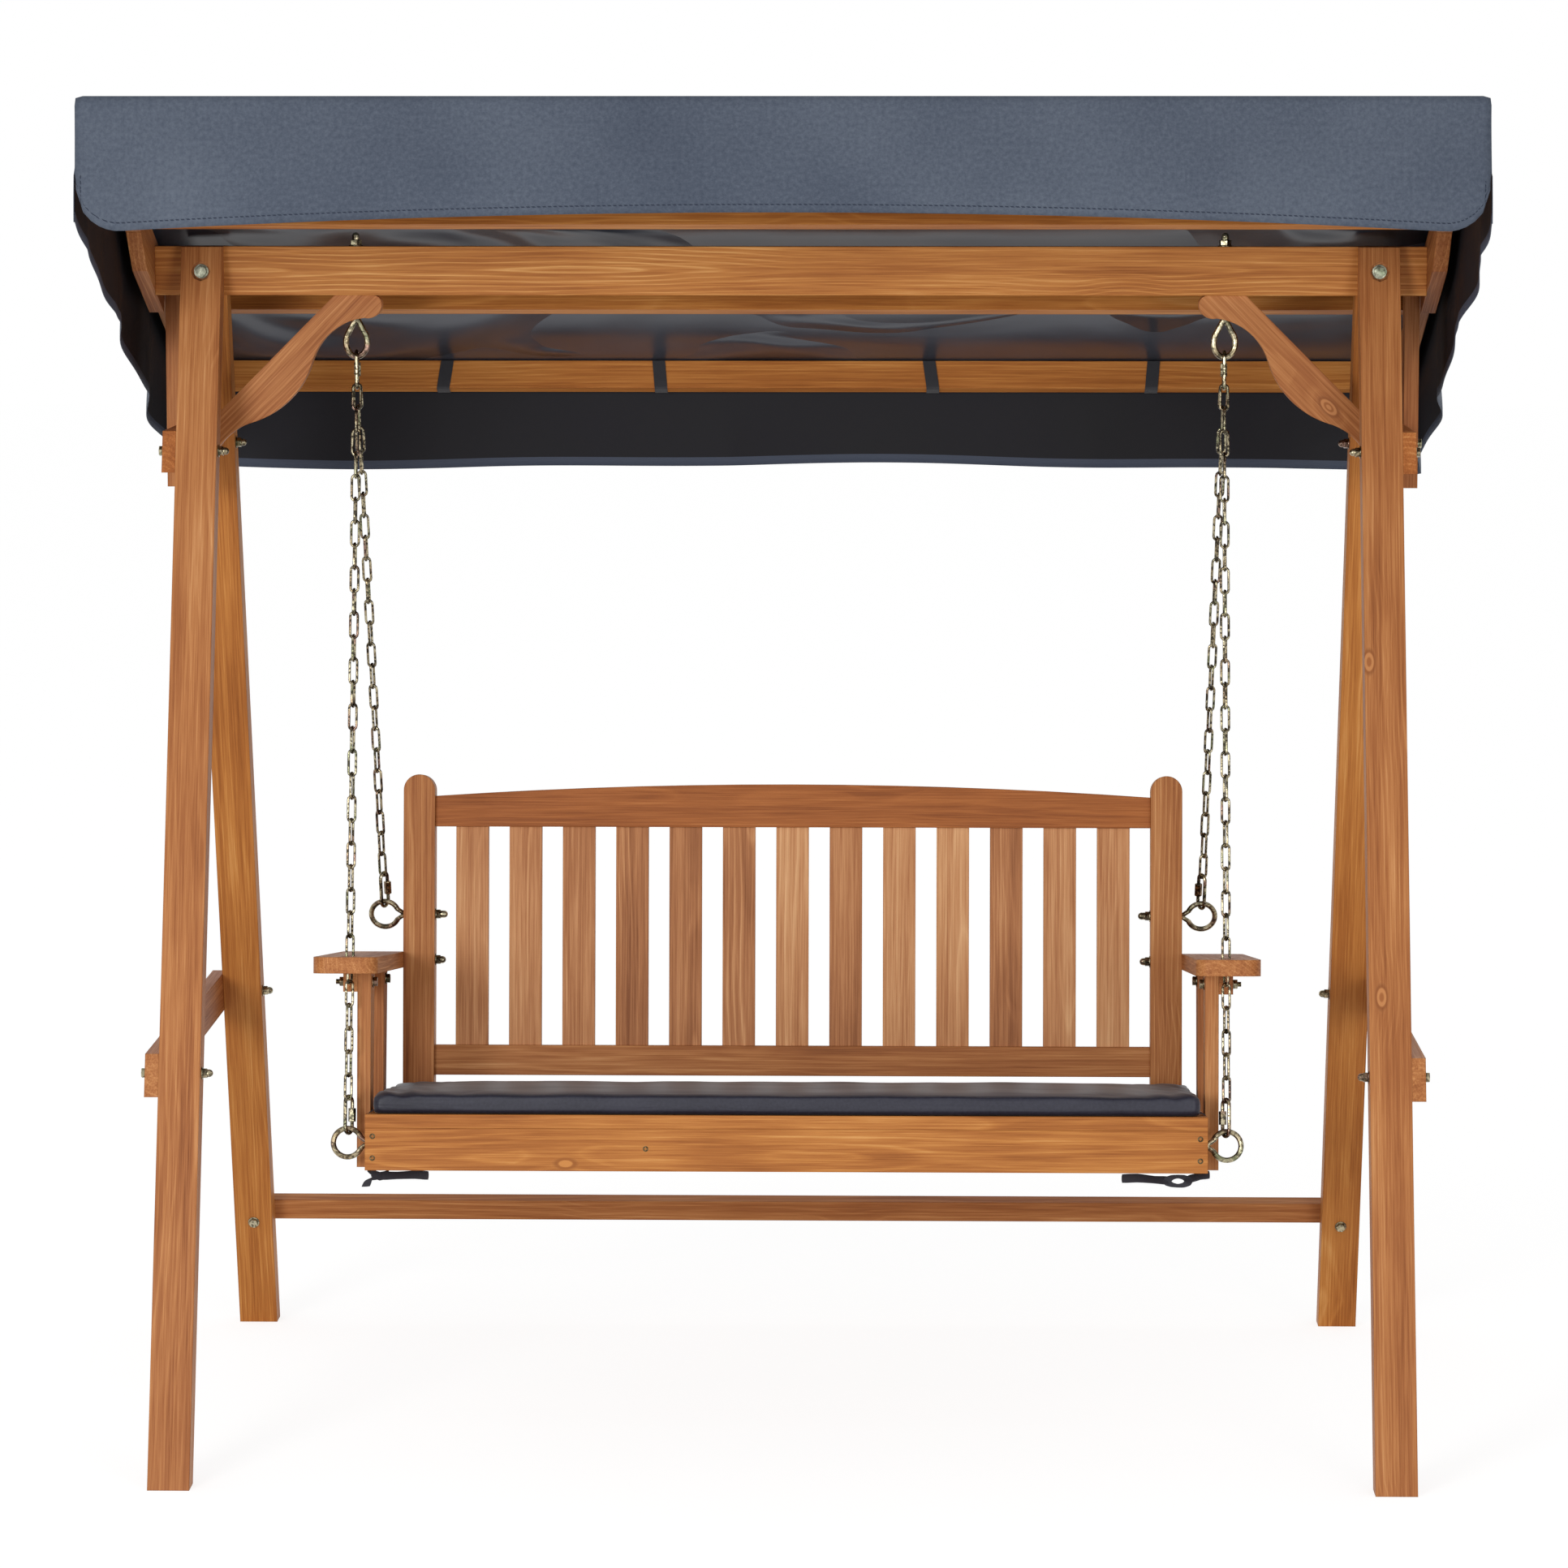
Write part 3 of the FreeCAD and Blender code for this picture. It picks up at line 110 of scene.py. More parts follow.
# %% Nodes and what goes into them
def paint(red, green, blue):
    """A screen colour from 0 to 255 as linear light."""
    parts = [c / 255 for c in (red, green, blue)]
    return tuple(c / 12.92 if c <= 0.04045 else ((c + 0.055) / 1.055) ** 2.4 for c in parts) + (1.0,)


def wire(tree, made, inputs):
    """Fill a node's inputs: each is wired to a socket or set to a value."""
    for name, value in inputs.items():
        if isinstance(value, bpy.types.NodeSocket):
            tree.links.new(value, made.inputs[name])
        else:
            made.inputs[name].default_value = value


def node(tree, kind, inputs=None, **options):
    made = tree.nodes.new("ShaderNode" + kind)
    for name, value in options.items():
        setattr(made, name, value)
    wire(tree, made, inputs or {})
    return made


def sums(tree, operation, first, second=0.0, third=0.0):
    return node(tree, "Math", {0: first, 1: second, 2: third}, operation=operation).outputs[0]


# %% Places, patterns and colours
def own_place(tree):
    return node(tree, "TexCoord").outputs["Object"]


def mapped(tree, place, **how):
    """Coordinates that are moved, turned or stretched."""
    return node(tree, "Mapping", {"Vector": place, **how}).outputs["Vector"]


def split(tree, place):
    return node(tree, "SeparateXYZ", {"Vector": place}).outputs


def ramp(tree, factor, stops):
    """Colours at places along a factor: screen colours of three parts, or light of four."""
    made = node(tree, "ValToRGB", {"Fac": factor})
    band = made.color_ramp.elements
    while len(band) < len(stops):
        band.new(0.5)
    for stop, (place, colour) in zip(band, stops):
        stop.position = place
        stop.color = colour if len(colour) == 4 else paint(*colour)
    return made.outputs["Color"]


def grade(tree, factor, low, high, start=0.0, end=1.0):
    """A value that runs from start to end as the factor goes from low to high."""
    limits = {"From Min": low, "From Max": high, "To Min": start, "To Max": end}
    return node(tree, "MapRange", {"Value": factor, **limits}).outputs["Result"]


def haze(tree, place, scale, detail, rough=0.5, distort=0.0):
    """Soft random noise between 0 and 1."""
    inputs = {"Vector": place, "Scale": scale, "Detail": detail, "Roughness": rough, "Distortion": distort}
    return node(tree, "TexNoise", inputs).outputs["Fac"]


def blend(tree, factor, first, second):
    """A colour that turns into another."""
    inputs = {"Factor": factor, "A": first, "B": second}
    return node(tree, "Mix", inputs, data_type="RGBA").outputs["Result"]


def relief(tree, height, strength, distance, **more):
    """A height that shows as a bump."""
    inputs = {"Height": height, "Strength": strength, "Distance": distance, **more}
    return node(tree, "Bump", inputs).outputs["Normal"]


def finish(name):
    """An empty material: its node tree and its main shader."""
    material = bpy.data.materials.new(name)
    material.use_nodes = True
    tree = material.node_tree
    return material, tree, tree.nodes["Principled BSDF"]


# %% [markdown]
# ## Floor, background and lamps
# A catalogue picture has a white background and soft light. The floor is a pale plane. Seen by the camera it
# is paper white, and only the swing's shadow darkens it. The world looks white where the camera, a mirror or
# glass sees it, and gives the object a softer light of its own. Two large lamps in front model the forms.
# They are kept low enough that a colour renders about as it is written.

# %% Lay the floor
FLOOR_HALF, PAPER_GLOW = 30, 0.81


def grey(level):
    return (level, level, level, 1)


def looked_at(tree):
    """1 where the camera, a mirror or glass looks, and 0 for light on its way between things."""
    rays = node(tree, "LightPath").outputs
    seen = sums(tree, "MAXIMUM", rays["Is Camera Ray"], rays["Is Glossy Ray"])
    return sums(tree, "MAXIMUM", seen, rays["Is Transmission Ray"])


def as_mesh(bm, name):
    """A mesh from a bmesh that is done."""
    mesh = bpy.data.meshes.new(name)
    bm.to_mesh(mesh)
    bm.free()
    return mesh


ground = bmesh.new()
bmesh.ops.create_grid(ground, x_segments=2, y_segments=2, size=FLOOR_HALF)
floor_mesh = as_mesh(ground, "studio_floor")
studio_floor = put_in("studio_floor", floor_mesh)

pale, tree, shader = finish("pale_floor")
wire(tree, shader, {"Base Color": grey(0.88), "Roughness": 0.9, "Specular IOR Level": 0.1})
matt = node(tree, "BsdfDiffuse", {"Color": grey(0.36)}).outputs["BSDF"]
white = node(tree, "Emission", {"Color": grey(1), "Strength": PAPER_GLOW}).outputs["Emission"]
paper = node(tree, "AddShader", {0: matt, 1: white}).outputs["Shader"]
both = node(tree, "MixShader", {"Fac": looked_at(tree), 1: shader.outputs["BSDF"], 2: paper})
wire(tree, tree.nodes["Material Output"], {"Surface": both.outputs["Shader"]})
floor_mesh.materials.append(pale)

# %% Light the studio
WORLD_GLOW = 0.52
world = bpy.data.worlds.new("white_studio")
scene.world = world
world.use_nodes = True
tree = world.node_tree
glow = grade(tree, looked_at(tree), 0, 1, WORLD_GLOW, 1.0)
wire(tree, tree.nodes["Background"], {"Color": grey(1), "Strength": glow})


def lamp(name, place, target, size, power):
    data = bpy.data.lights.new(name, "AREA")
    data.shape = "DISK"
    data.size = size
    data.energy = power
    held = put_in(name, data)
    held.location = place
    held.rotation_euler = (Vector(target) - Vector(place)).to_track_quat("-Z", "Y").to_euler()


SWING_MIDDLE = (0, 0, 1.1)
lamp("key_lamp", (-2.9, -6.4, 2.1), SWING_MIDDLE, size=2.2, power=175)
lamp("fill_lamp", (3.0, -6.2, 1.1), SWING_MIDDLE, size=2.6, power=85)
scene.view_settings.view_transform = "Standard"

# %% [markdown]
# ## Stained softwood
# The timber is spruce with a warm brown stain. A board is sawn from a trunk, so its lines are the trunk's
# year rings cut at a slant. Painting lines on each face would not meet at the corners. Here the material
# measures how far each point lies from the trunk's heart and bands that distance, so faces, edges and end
# grain agree.
#
# The coordinates come first: turned so that the third one runs along the grain, with the piece's middle at
# zero. A node that holds several boards counts them, and each board gets its own stretch of the trunk.

# %% Where a point lies in the trunk
BOARD_STEP = 1.73
GRAIN = {
    "across": (0, -90, 0),
    "upright": (0, 0, 0),
    "front_leg": (LEG_LEAN, 0, 0),
    "rear_leg": (-LEG_LEAN, 0, 0),
    "depth": (90, 0, 0),
    "bench_across": (BENCH_TILT, -90, 0),
    "bench_upright": (BENCH_TILT, 0, 0),
    "bench_depth": (90 + BENCH_TILT, 0, 0),
    "canopy_across": (CANOPY_TILT, -90, 0),
    "canopy_depth": (90 + CANOPY_TILT, 0, 0),
    "brace_left": (0, -45, 0),
    "brace_right": (0, 45, 0),
}


def trunk_space(tree, cad_node, grain, boards):
    """Coordinates along and across the grain, and the number of the board."""
    low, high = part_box(cad_node)
    angles = [math.radians(a) for a in GRAIN[grain]]
    turn = Matrix.Rotation(angles[1], 3, "Y") @ Matrix.Rotation(angles[0], 3, "X")
    middle = turn @ ((low + high) / 2)
    spot = mapped(tree, own_place(tree), Rotation=angles, Location=-middle)
    if not boards:
        return spot, None
    axis, pitch, shift = boards
    parts = split(tree, spot)
    number = sums(tree, "ROUND", sums(tree, "DIVIDE", sums(tree, "ADD", parts[axis], shift), pitch))
    moved = [parts[i] for i in range(3)]
    moved["XYZ".index(axis)] = sums(tree, "MULTIPLY_ADD", number, -pitch, parts[axis])
    moved[2] = sums(tree, "MULTIPLY_ADD", number, BOARD_STEP, moved[2])
    return node(tree, "CombineXYZ", dict(enumerate(moved))).outputs["Vector"], number


def stretched(tree, spot, across, along, shift):
    """Coordinates for a pattern that is drawn out along the grain."""
    return mapped(tree, spot, Scale=(across, across, along), Location=shift)


# %% [markdown]
# Rings and knots follow. The distance from the heart is bent a little by slow noise, since trunks are never
# straight, and swells round each knot. A knot is a branch: cells of a Voronoi pattern scatter them, a random
# number leaves over half of the cells empty, and the ones that stay darken and show small rings of their own.

# %% Year rings and knots
KNOT_CHANCE, KNOT_SWELL = 0.55, 0.010
WANDER, WOBBLE = 0.055, 0.0035


def year_rings(tree, spot, seed, spacing):
    shift = (seed * 3.1, seed * 1.7, seed * 5.3)
    spread = {"Vector": stretched(tree, spot, 8.5, 4.2, shift), "Scale": 1.0, "Randomness": 0.9}
    cells = node(tree, "TexVoronoi", spread).outputs
    chance = node(tree, "SeparateColor", {"Color": cells["Color"]}).outputs["Red"]
    branch = sums(tree, "GREATER_THAN", chance, KNOT_CHANCE)
    near = cells["Distance"]
    swell = sums(tree, "MULTIPLY", grade(tree, near, 0.32, 0.04, 0.0, KNOT_SWELL), branch)
    wander = haze(tree, stretched(tree, spot, 7, 1.6, shift), 1.0, 2.0)
    wobble = haze(tree, stretched(tree, spot, 40, 9.0, shift), 1.0, 2.0)
    parts = split(tree, spot)
    heart = {"X": 0.05 * math.sin(seed * 2.4) + 0.01, "Y": 0.05 * math.cos(seed * 1.9) + 0.02}
    squares = [sums(tree, "POWER", sums(tree, "SUBTRACT", parts[a], heart[a]), 2.0) for a in "XY"]
    far = sums(tree, "SQRT", sums(tree, "ADD", *squares))
    far = sums(tree, "ADD", far, swell)
    far = sums(tree, "MULTIPLY_ADD", wander, WANDER, far)
    far = sums(tree, "MULTIPLY_ADD", wobble, WOBBLE, far)
    lines = sums(tree, "FRACT", sums(tree, "DIVIDE", far, spacing))
    knot = sums(tree, "MULTIPLY", grade(tree, near, 0.105, 0.062), branch)
    knot_rings = sums(tree, "SINE", sums(tree, "MULTIPLY", near, 150.0))
    return lines, knot, knot_rings


# %% [markdown]
# The finish puts it together. Stain sinks into the soft early wood and hardly into the dense late wood, so on
# stained spruce the ring lines are the paler ones. Fibres make fine streaks, and slow noise makes one stretch
# darker than the next. A satin stain is neither matt nor glossy, and its pores show as a slight bump. The
# bevel node rounds the light on sharp edges, as a sanded arris does.

# %% The colours of the stain
STAIN_LEVELS = (0.18, 0.42, 0.6, 0.88)
STAINS = {
    "gold": [(130, 70, 24), (172, 104, 46), (196, 128, 62), (228, 170, 102)],
    "brown": [(122, 66, 30), (162, 98, 52), (186, 122, 70), (218, 160, 106)],
    "tan": [(138, 82, 46), (178, 116, 72), (204, 144, 96), (232, 180, 130)],
    "russet": [(114, 58, 22), (156, 88, 40), (178, 106, 52), (208, 144, 84)],
}


def grain_tone(tree, spot, seed, lines, contrast):
    """How light a point of the board is: rings, fibres, streaks and cloudy stain together."""
    shift = (seed, seed * 2.2, seed * 0.7)

    def cloudy(across, along, detail, rough=0.5):
        return haze(tree, stretched(tree, spot, across, along, shift), 1.0, detail, rough)

    fibre = cloudy(420, 7, 4.0, 0.65)
    streak = cloudy(55, 1.6, 3.0)
    cloud = cloudy(9, 3.0, 3.0)
    greys = ((0.0, 0.44), (0.55, 0.4), (0.86, 0.8), (1.0, 0.46))
    late = ramp(tree, lines, [(place, grey(level)) for place, level in greys])
    strength = grade(tree, cloudy(12, 1.1, 1.0), 0.35, 0.7, 0.08 * contrast, 0.5 * contrast)
    tone = sums(tree, "MULTIPLY", sums(tree, "ADD", late, -0.46), strength)
    for pattern, share in ((fibre, 0.75), (streak, 0.5), (cloud, 0.5)):
        tone = sums(tree, "MULTIPLY_ADD", sums(tree, "ADD", pattern, -0.5), share, tone)
    return sums(tree, "ADD", tone, 0.5), fibre


def knot_heart(tree, stain, knot, knot_rings):
    """The colour inside a knot: small rings, with a dark line round them."""
    dark, middle, light, _ = STAINS[stain]
    pale = [min(255, c + 8) for c in light]
    heart = ramp(tree, grade(tree, knot_rings, -1, 1), [(0.1, middle), (0.7, pale)])
    outline = sums(tree, "MULTIPLY", knot, sums(tree, "SUBTRACT", 1.0, knot))
    return blend(tree, sums(tree, "MULTIPLY", outline, 3.0), heart, paint(*dark))


# %% The stained timber
ARRIS = 0.0022


def timber(cad_node, grain, stain="brown", seed=1.0, boards=None, spacing=0.0075, contrast=1.0):
    material, tree, shader = finish("timber_" + cad_node)
    spot, number = trunk_space(tree, cad_node, grain, boards)
    lines, knot, knot_rings = year_rings(tree, spot, seed, spacing)
    tone, fibre = grain_tone(tree, spot, seed, lines, contrast)
    if number:
        chance = node(tree, "TexWhiteNoise", {"W": number}, noise_dimensions="1D").outputs["Value"]
        tone = sums(tree, "MULTIPLY_ADD", chance, 0.26, sums(tree, "ADD", tone, -0.13))
    colour = ramp(tree, tone, list(zip(STAIN_LEVELS, STAINS[stain])))
    arris = node(tree, "Bevel", {"Radius": ARRIS}, samples=4).outputs["Normal"]
    pores = sums(tree, "MULTIPLY_ADD", lines, 0.25, fibre)
    look = {
        "Base Color": blend(tree, knot, colour, knot_heart(tree, stain, knot, knot_rings)),
        "Roughness": grade(tree, fibre, 0.3, 0.75, 0.58, 0.44),
        "Specular IOR Level": 0.22,
        "Normal": relief(tree, pores, 0.22, 0.0012, Normal=arris),
    }
    wire(tree, shader, look)
    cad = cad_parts[cad_node].data
    cad.materials.clear()
    cad.materials.append(material)


# %% [markdown]
# Each board gets its own trunk by a seed, and the direction in which it was sawn. The top beam and the seat's
# front board are a lighter gold than the rest, the rail along the top of the back is redder, and the slats of
# the back are tan.

# %% Finish the timber of the frame
for number, side in enumerate(("left", "right")):
    timber(f"front_leg_{side}", "front_leg", "brown", 3.3 + number * 2.1)
    timber(f"rear_leg_{side}", "rear_leg", "gold", 5.7 + number * 1.3)
    timber(f"lower_crosspiece_{side}", "depth", "brown", 8.2 + number)
    timber(f"upper_crosspiece_{side}", "depth", "russet", 9.4 + number)
    timber(f"canopy_side_rail_{side}", "canopy_depth", "brown", 11.5 + number)
    timber(f"canopy_post_{side}", "upright", "brown", 13.1 + number)
    timber(f"corner_brace_{side}", f"brace_{side}", "brown", 15.9 + number, spacing=0.007)
timber("top_beam", "across", "gold", 1.4, contrast=1.4)
timber("rear_stretcher", "across", "brown", 2.8)
# the canopy's rails take the lighter gold stain as painted light, lifting them out of the shade under the
# canopy
for number, place in enumerate(("front", "second", "third", "rear")):
    timber(f"canopy_rail_{place}", "canopy_across", "gold", 21.3 + number * 1.1)
timber("canopy_cleats", "canopy_depth", "brown", 26.2, boards=("X", 1.906, 0.953))
print("timber in the frame:", len([m for m in bpy.data.materials if m.name.startswith("timber_")]))

# %% Finish the timber of the bench
timber("seat_apron", "bench_across", "gold", 31.4, spacing=0.010, contrast=1.4)
timber("seat_rear_rail", "bench_across", "brown", 32.2)
timber("seat_slats", "bench_across", "gold", 33.6, boards=("Y", 0.0736, 0.0368))
timber("seat_bearers", "bench_depth", "brown", 34.8, boards=("X", 0.41, 0.205))
timber("back_top_rail", "bench_across", "russet", 35.5)
timber("back_bottom_rail", "bench_across", "brown", 36.1, contrast=1.6)
timber("back_slats", "bench_upright", "tan", 37.9, boards=("X", 0.08214, 0.0))
timber("arm_posts", "bench_upright", "brown", 38.7, boards=("Y", 0.212, 0.106))
timber("arm_cleats", "bench_depth", "brown", 39.4, boards=("X", 1.293, 0.6465))
for number, side in enumerate(("left", "right")):
    timber(f"seat_side_rail_{side}", "bench_depth", "brown", 41.2 + number)
    timber(f"back_post_{side}", "bench_upright", "brown", 43.7 + number)
    timber(f"armrest_{side}", "bench_depth", "brown", 45.1 + number)
print("timber in all:", len([m for m in bpy.data.materials if m.name.startswith("timber_")]))

# %% [markdown]
# ## Yellow-passivated zinc
# Chains, eyebolts and nuts are steel with a yellow zinc skin. The skin is so thin that it shimmers from straw
# to rose and green. A metal shader with a slow drift between such tints gives that. Smaller patches are
# painted dark brown as painted dark reflections, and a little unevenness keeps the polish from looking like
# chrome.
# The two bolts at the leg tops are greyer than the rest.

# %% The zinc finish
STRAW = [(148, 120, 106), (160, 146, 116), (188, 178, 150), (130, 132, 102)]
GREY = [(128, 128, 112), (150, 152, 132), (176, 178, 158), (134, 142, 118)]
# the dark brown of the painted dark reflections
REFLECTED_DARK = (34, 29, 22)
TINT_LEVELS = (0.34, 0.44, 0.55, 0.66)


def zinc(name, scale, seed, polish, dark, shades=STRAW):
    material, tree, shader = finish(name)
    spot = mapped(tree, own_place(tree), Location=(seed, seed * 2, seed * 3))
    drift = haze(tree, spot, scale, 3.0, distort=0.6)
    hue = ramp(tree, drift, list(zip(TINT_LEVELS, shades)))
    # patches painted dark brown: painted dark reflections on the metal
    dark_reflections = grade(tree, haze(tree, spot, scale * 5, 2.0, distort=1.2), 0.58, 0.42, 0.0, dark)
    grime = haze(tree, spot, scale * 9, 2.0)
    look = {
        "Base Color": blend(tree, dark_reflections, hue, paint(*REFLECTED_DARK)),
        "Roughness": grade(tree, grime, 0.3, 0.7, polish, polish + 0.16),
        "Metallic": 1.0,
        "Normal": relief(tree, grime, 0.08, 0.0006),
    }
    wire(tree, shader, look)
    return material


chain_zinc = zinc("chain_zinc", scale=30.0, seed=0.7, polish=0.16, dark=0.92)
bolt_zinc = zinc("bolt_zinc", scale=26.0, seed=2.9, polish=0.24, dark=0.75)
grey_zinc = zinc("grey_zinc", scale=26.0, seed=4.3, polish=0.34, dark=0.5, shades=GREY)
print("metal finishes:", chain_zinc.name, bolt_zinc.name, grey_zinc.name)

# %% [markdown]
# ## Finding each fastener
# One CAD node holds all bolts of a kind, and another all links of a chain. Joining the corners that coincide
# and walking along the edges tells the separate solids apart. The directions in which their corners spread
# most and least then give each one's axis, so a new piece goes exactly where its solid is.

# %% Tell the solids of a node apart
def loose_solids(cad_node):
    bm = bmesh.new()
    bm.from_mesh(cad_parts[cad_node].data)
    bmesh.ops.remove_doubles(bm, verts=bm.verts, dist=1e-6)
    waiting = set(bm.verts)
    solids = []
    while waiting:
        edge_of_walk = [waiting.pop()]
        corners = []
        while edge_of_walk:
            here = edge_of_walk.pop()
            corners.append(tuple(here.co))
            for edge in here.link_edges:
                there = edge.other_vert(here)
                if there in waiting:
                    waiting.remove(there)
                    edge_of_walk.append(there)
        solids.append(np.array(corners))
    bm.free()
    return sorted(solids, key=lambda c: tuple(c.mean(0).round(4)))


def spread_axes(corners):
    """The middle of a solid, and the directions of its most, middle and least spread."""
    middle = (corners.min(0) + corners.max(0)) / 2
    axes = np.linalg.svd(corners - corners.mean(0))[2]
    return Vector(middle), [Vector(a) for a in axes]


def stood(place, up, across=None):
    """The matrix that stands a shape at a place, its Z along up and its X towards across."""
    up = Vector(up).normalized()
    across = Vector(across) if across is not None else up.orthogonal()
    across = (across - up * across.dot(up)).normalized()
    rows = Matrix((across, up.cross(across), up)).transposed().to_4x4()
    return Matrix.Translation(place) @ rows


print("cross-piece bolts found:", len(loose_solids("crosspiece_bolts")))

# %% [markdown]
# ## Bolts and nuts
# A hexagon head is a six-sided disc with its rims eased by a bevel, a washer is a flat round disc, and a cap
# nut ends in a dome. A thread is a fine zigzag turned once round the axis: at this size its pitch cannot be
# told from rings. A few tools that serve all the shapes come first.

# %% Tools for shapes
BMVert, BMEdge = bmesh.types.BMVert, bmesh.types.BMEdge


def only(geom, kind):
    """The corners or the edges among what an operator gives back."""
    return [g for g in geom if isinstance(g, kind)]


def spun(bm, geom, axis, centre, angle, steps):
    """Turn open edges round an axis, and give the edges where they end."""
    made = bmesh.ops.spin(bm, geom=geom, axis=axis, cent=centre, angle=angle, steps=steps)
    return only(made["geom_last"], BMEdge)


def rise(edge):
    """How far an edge climbs."""
    return abs(edge.verts[0].co.z - edge.verts[1].co.z)


def eased(bm, edges, offset, segments):
    """Round edges off."""
    look = {"profile": 0.5, "affect": "EDGES", "material": -1}
    bmesh.ops.bevel(bm, geom=edges, offset=offset, segments=segments, **look)


def soften(bm, degrees=25):
    """Smooth shading, with the edges that are sharper than an angle kept crisp."""
    for face in bm.faces:
        face.smooth = True
    for edge in bm.edges:
        edge.smooth = len(edge.link_faces) != 2 or edge.calc_face_angle() < math.radians(degrees)


def kept(bm, name, body, materials, stands_for=()):
    """Turn a finished bmesh into a piece of the swing."""
    mesh = as_mesh(bm, name)
    for material in materials:
        mesh.materials.append(material)
    piece = put_in(name, mesh)
    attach(piece, body)
    if stands_for:
        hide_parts(*stands_for)
    return piece


# %% Model the fasteners
WASHER, NUT, HEAD = 0.0016, 0.0065, 0.0055  # heights
RIM, ACROSS, CAP, BOLT = 0.009, 0.0075, 0.0056, 0.004  # radii
THREAD_DEPTH = 0.0007


def disc(bm, sides, radius, low, high, ease):
    """A flat disc or hexagon between two levels, with eased rims."""
    turn = Matrix.Rotation(math.pi / sides, 4, "Z")
    made = bmesh.ops.create_cone(
        bm,
        cap_ends=True,
        segments=sides,
        radius1=radius,
        radius2=radius,
        depth=high - low,
        matrix=Matrix.Translation((0, 0, (low + high) / 2)) @ turn,
    )["verts"]
    inside = set(made)
    rims = {e for v in made for e in v.link_edges if rise(e) < 1e-7}
    eased(bm, [e for e in rims if set(e.verts) <= inside], ease, 2)


def thread(bm, radius, low, high, pitch=0.00125):
    """A threaded end, closed with a flat tip."""
    count = max(2, round((high - low) / pitch))
    step = (high - low) / count
    radii = [radius - (0.0 if i % 2 else THREAD_DEPTH) for i in range(2 * count + 1)]
    outline = [(wide, 0, low + step * i / 2) for i, wide in enumerate(radii)]
    line = [bm.verts.new(corner) for corner in outline + [(0, 0, high)]]
    edges = [bm.edges.new(pair) for pair in zip(line, line[1:])]
    round_z = {"axis": (0, 0, 1), "cent": (0, 0, 0), "angle": 2 * math.pi}
    bmesh.ops.spin(bm, geom=line + edges, steps=14, use_merge=True, **round_z)


def cap(bm, low, tall):
    """The closed end of a cap nut: a short round neck with a dome on it."""
    disc(bm, 18, CAP, low - 0.0004, low + tall, 0.0002)
    ball = bmesh.ops.create_uvsphere(bm, u_segments=18, v_segments=10, radius=CAP)["verts"]
    bmesh.ops.translate(bm, verts=ball, vec=(0, 0, low + tall - 0.0002))


def nut(bm, seat, neck=None, bulk=1.0):
    """A washer and a nut: a cap nut with a neck, or an open one with the bolt's thread."""
    top = seat + WASHER + NUT * bulk
    disc(bm, 24, RIM * bulk, seat, seat + WASHER, 0.0004)
    disc(bm, 6, ACROSS * bulk, seat + WASHER, top, 0.0007)
    if neck:
        cap(bm, top, neck)
    else:
        thread(bm, BOLT, top - 0.001, top + HEAD)


def bolt(bm, grip, neck):
    disc(bm, 24, RIM, -WASHER, 0, 0.0004)
    disc(bm, 6, ACROSS, -WASHER - HEAD, -WASHER, 0.0008)
    nut(bm, grip, neck)


def clean(bm):
    bmesh.ops.remove_doubles(bm, verts=bm.verts, dist=1e-6)
    bmesh.ops.recalc_face_normals(bm, faces=bm.faces)


# %% [markdown]
# Each bolt is made lying along Z from its head's seat, then stood on its solid's axis. The end with the wider
# rim is the head. A stud has no head at all: one of its ends is hidden in the armrest.

# %% Where a bolt's ends are
def add(target, source, matrix):
    """Copy a shape into a larger one, at a place."""
    bmesh.ops.transform(source, matrix=matrix, verts=source.verts)
    mesh = as_mesh(source, "copy")
    target.from_mesh(mesh)
    bpy.data.meshes.remove(mesh)


def ends(corners):
    """Both ends of a long solid: the wider one first, with the radius there."""
    middle, axes = spread_axes(corners)
    along = np.array(axes[0])
    height = (corners - np.array(middle)) @ along
    found = []
    for sign in (-1, 1):
        tip = (height * sign).max()
        rim = corners[height * sign > tip - 0.0003]
        spokes = rim - np.array(middle) - np.outer((rim - np.array(middle)) @ along, along)
        found.append((np.linalg.norm(spokes, axis=1).max(), middle + axes[0] * float(sign * tip)))
    return sorted(found, key=lambda e: -e[0])


# %% Put the bolts where their solids are
STUD_RADIUS, CAPPED_RADIUS = 0.006, 0.0035  # widest end of a stud, narrow end under a cap
SHORT_NECK, CAP_TALL = 0.0028, 0.7 * NUT
for cad_node, body in (
    ("leg_top_bolts", "frame"),
    ("crosspiece_bolts", "frame"),
    ("stretcher_bolts", "frame"),
    ("canopy_post_bolts", "frame"),
    ("arm_bolts", "bench"),
):
    large = cad_node == "leg_top_bolts"
    bulk = 1.2 if large else 1.0
    together = bmesh.new()
    for corners in loose_solids(cad_node):
        (wide, first), (narrow, last) = ends(corners)
        length = (last - first).length
        along = (last - first).normalized()
        one = bmesh.new()
        capped = narrow < CAPPED_RADIUS
        if wide < STUD_RADIUS:
            nut(one, 0, SHORT_NECK)
            add(together, one, stood(last - along * (WASHER + NUT + CAP_TALL), along))
        else:
            grip = length - HEAD - 2 * WASHER - NUT - (CAP_TALL if capped else HEAD)
            bolt(one, grip, SHORT_NECK if capped else None)
            bmesh.ops.scale(one, vec=(bulk, bulk, 1), verts=one.verts)
            add(together, one, stood(first + along * (HEAD + WASHER), along))
    clean(together)
    soften(together)
    skin = grey_zinc if large else bolt_zinc
    piece = kept(together, cad_node + "_turned", body, [skin], [cad_node])
    print(piece.name, len(piece.data.polygons), "faces")

# %% [markdown]
# ## Eyebolts
# An eyebolt is one rod bent into a ring. Its two ends draw together in a V where the shank starts. A round
# section is spun about the ring's middle, and both open ends are then drawn out to the neck. The hangers'
# eyes are squeezed to an oval.

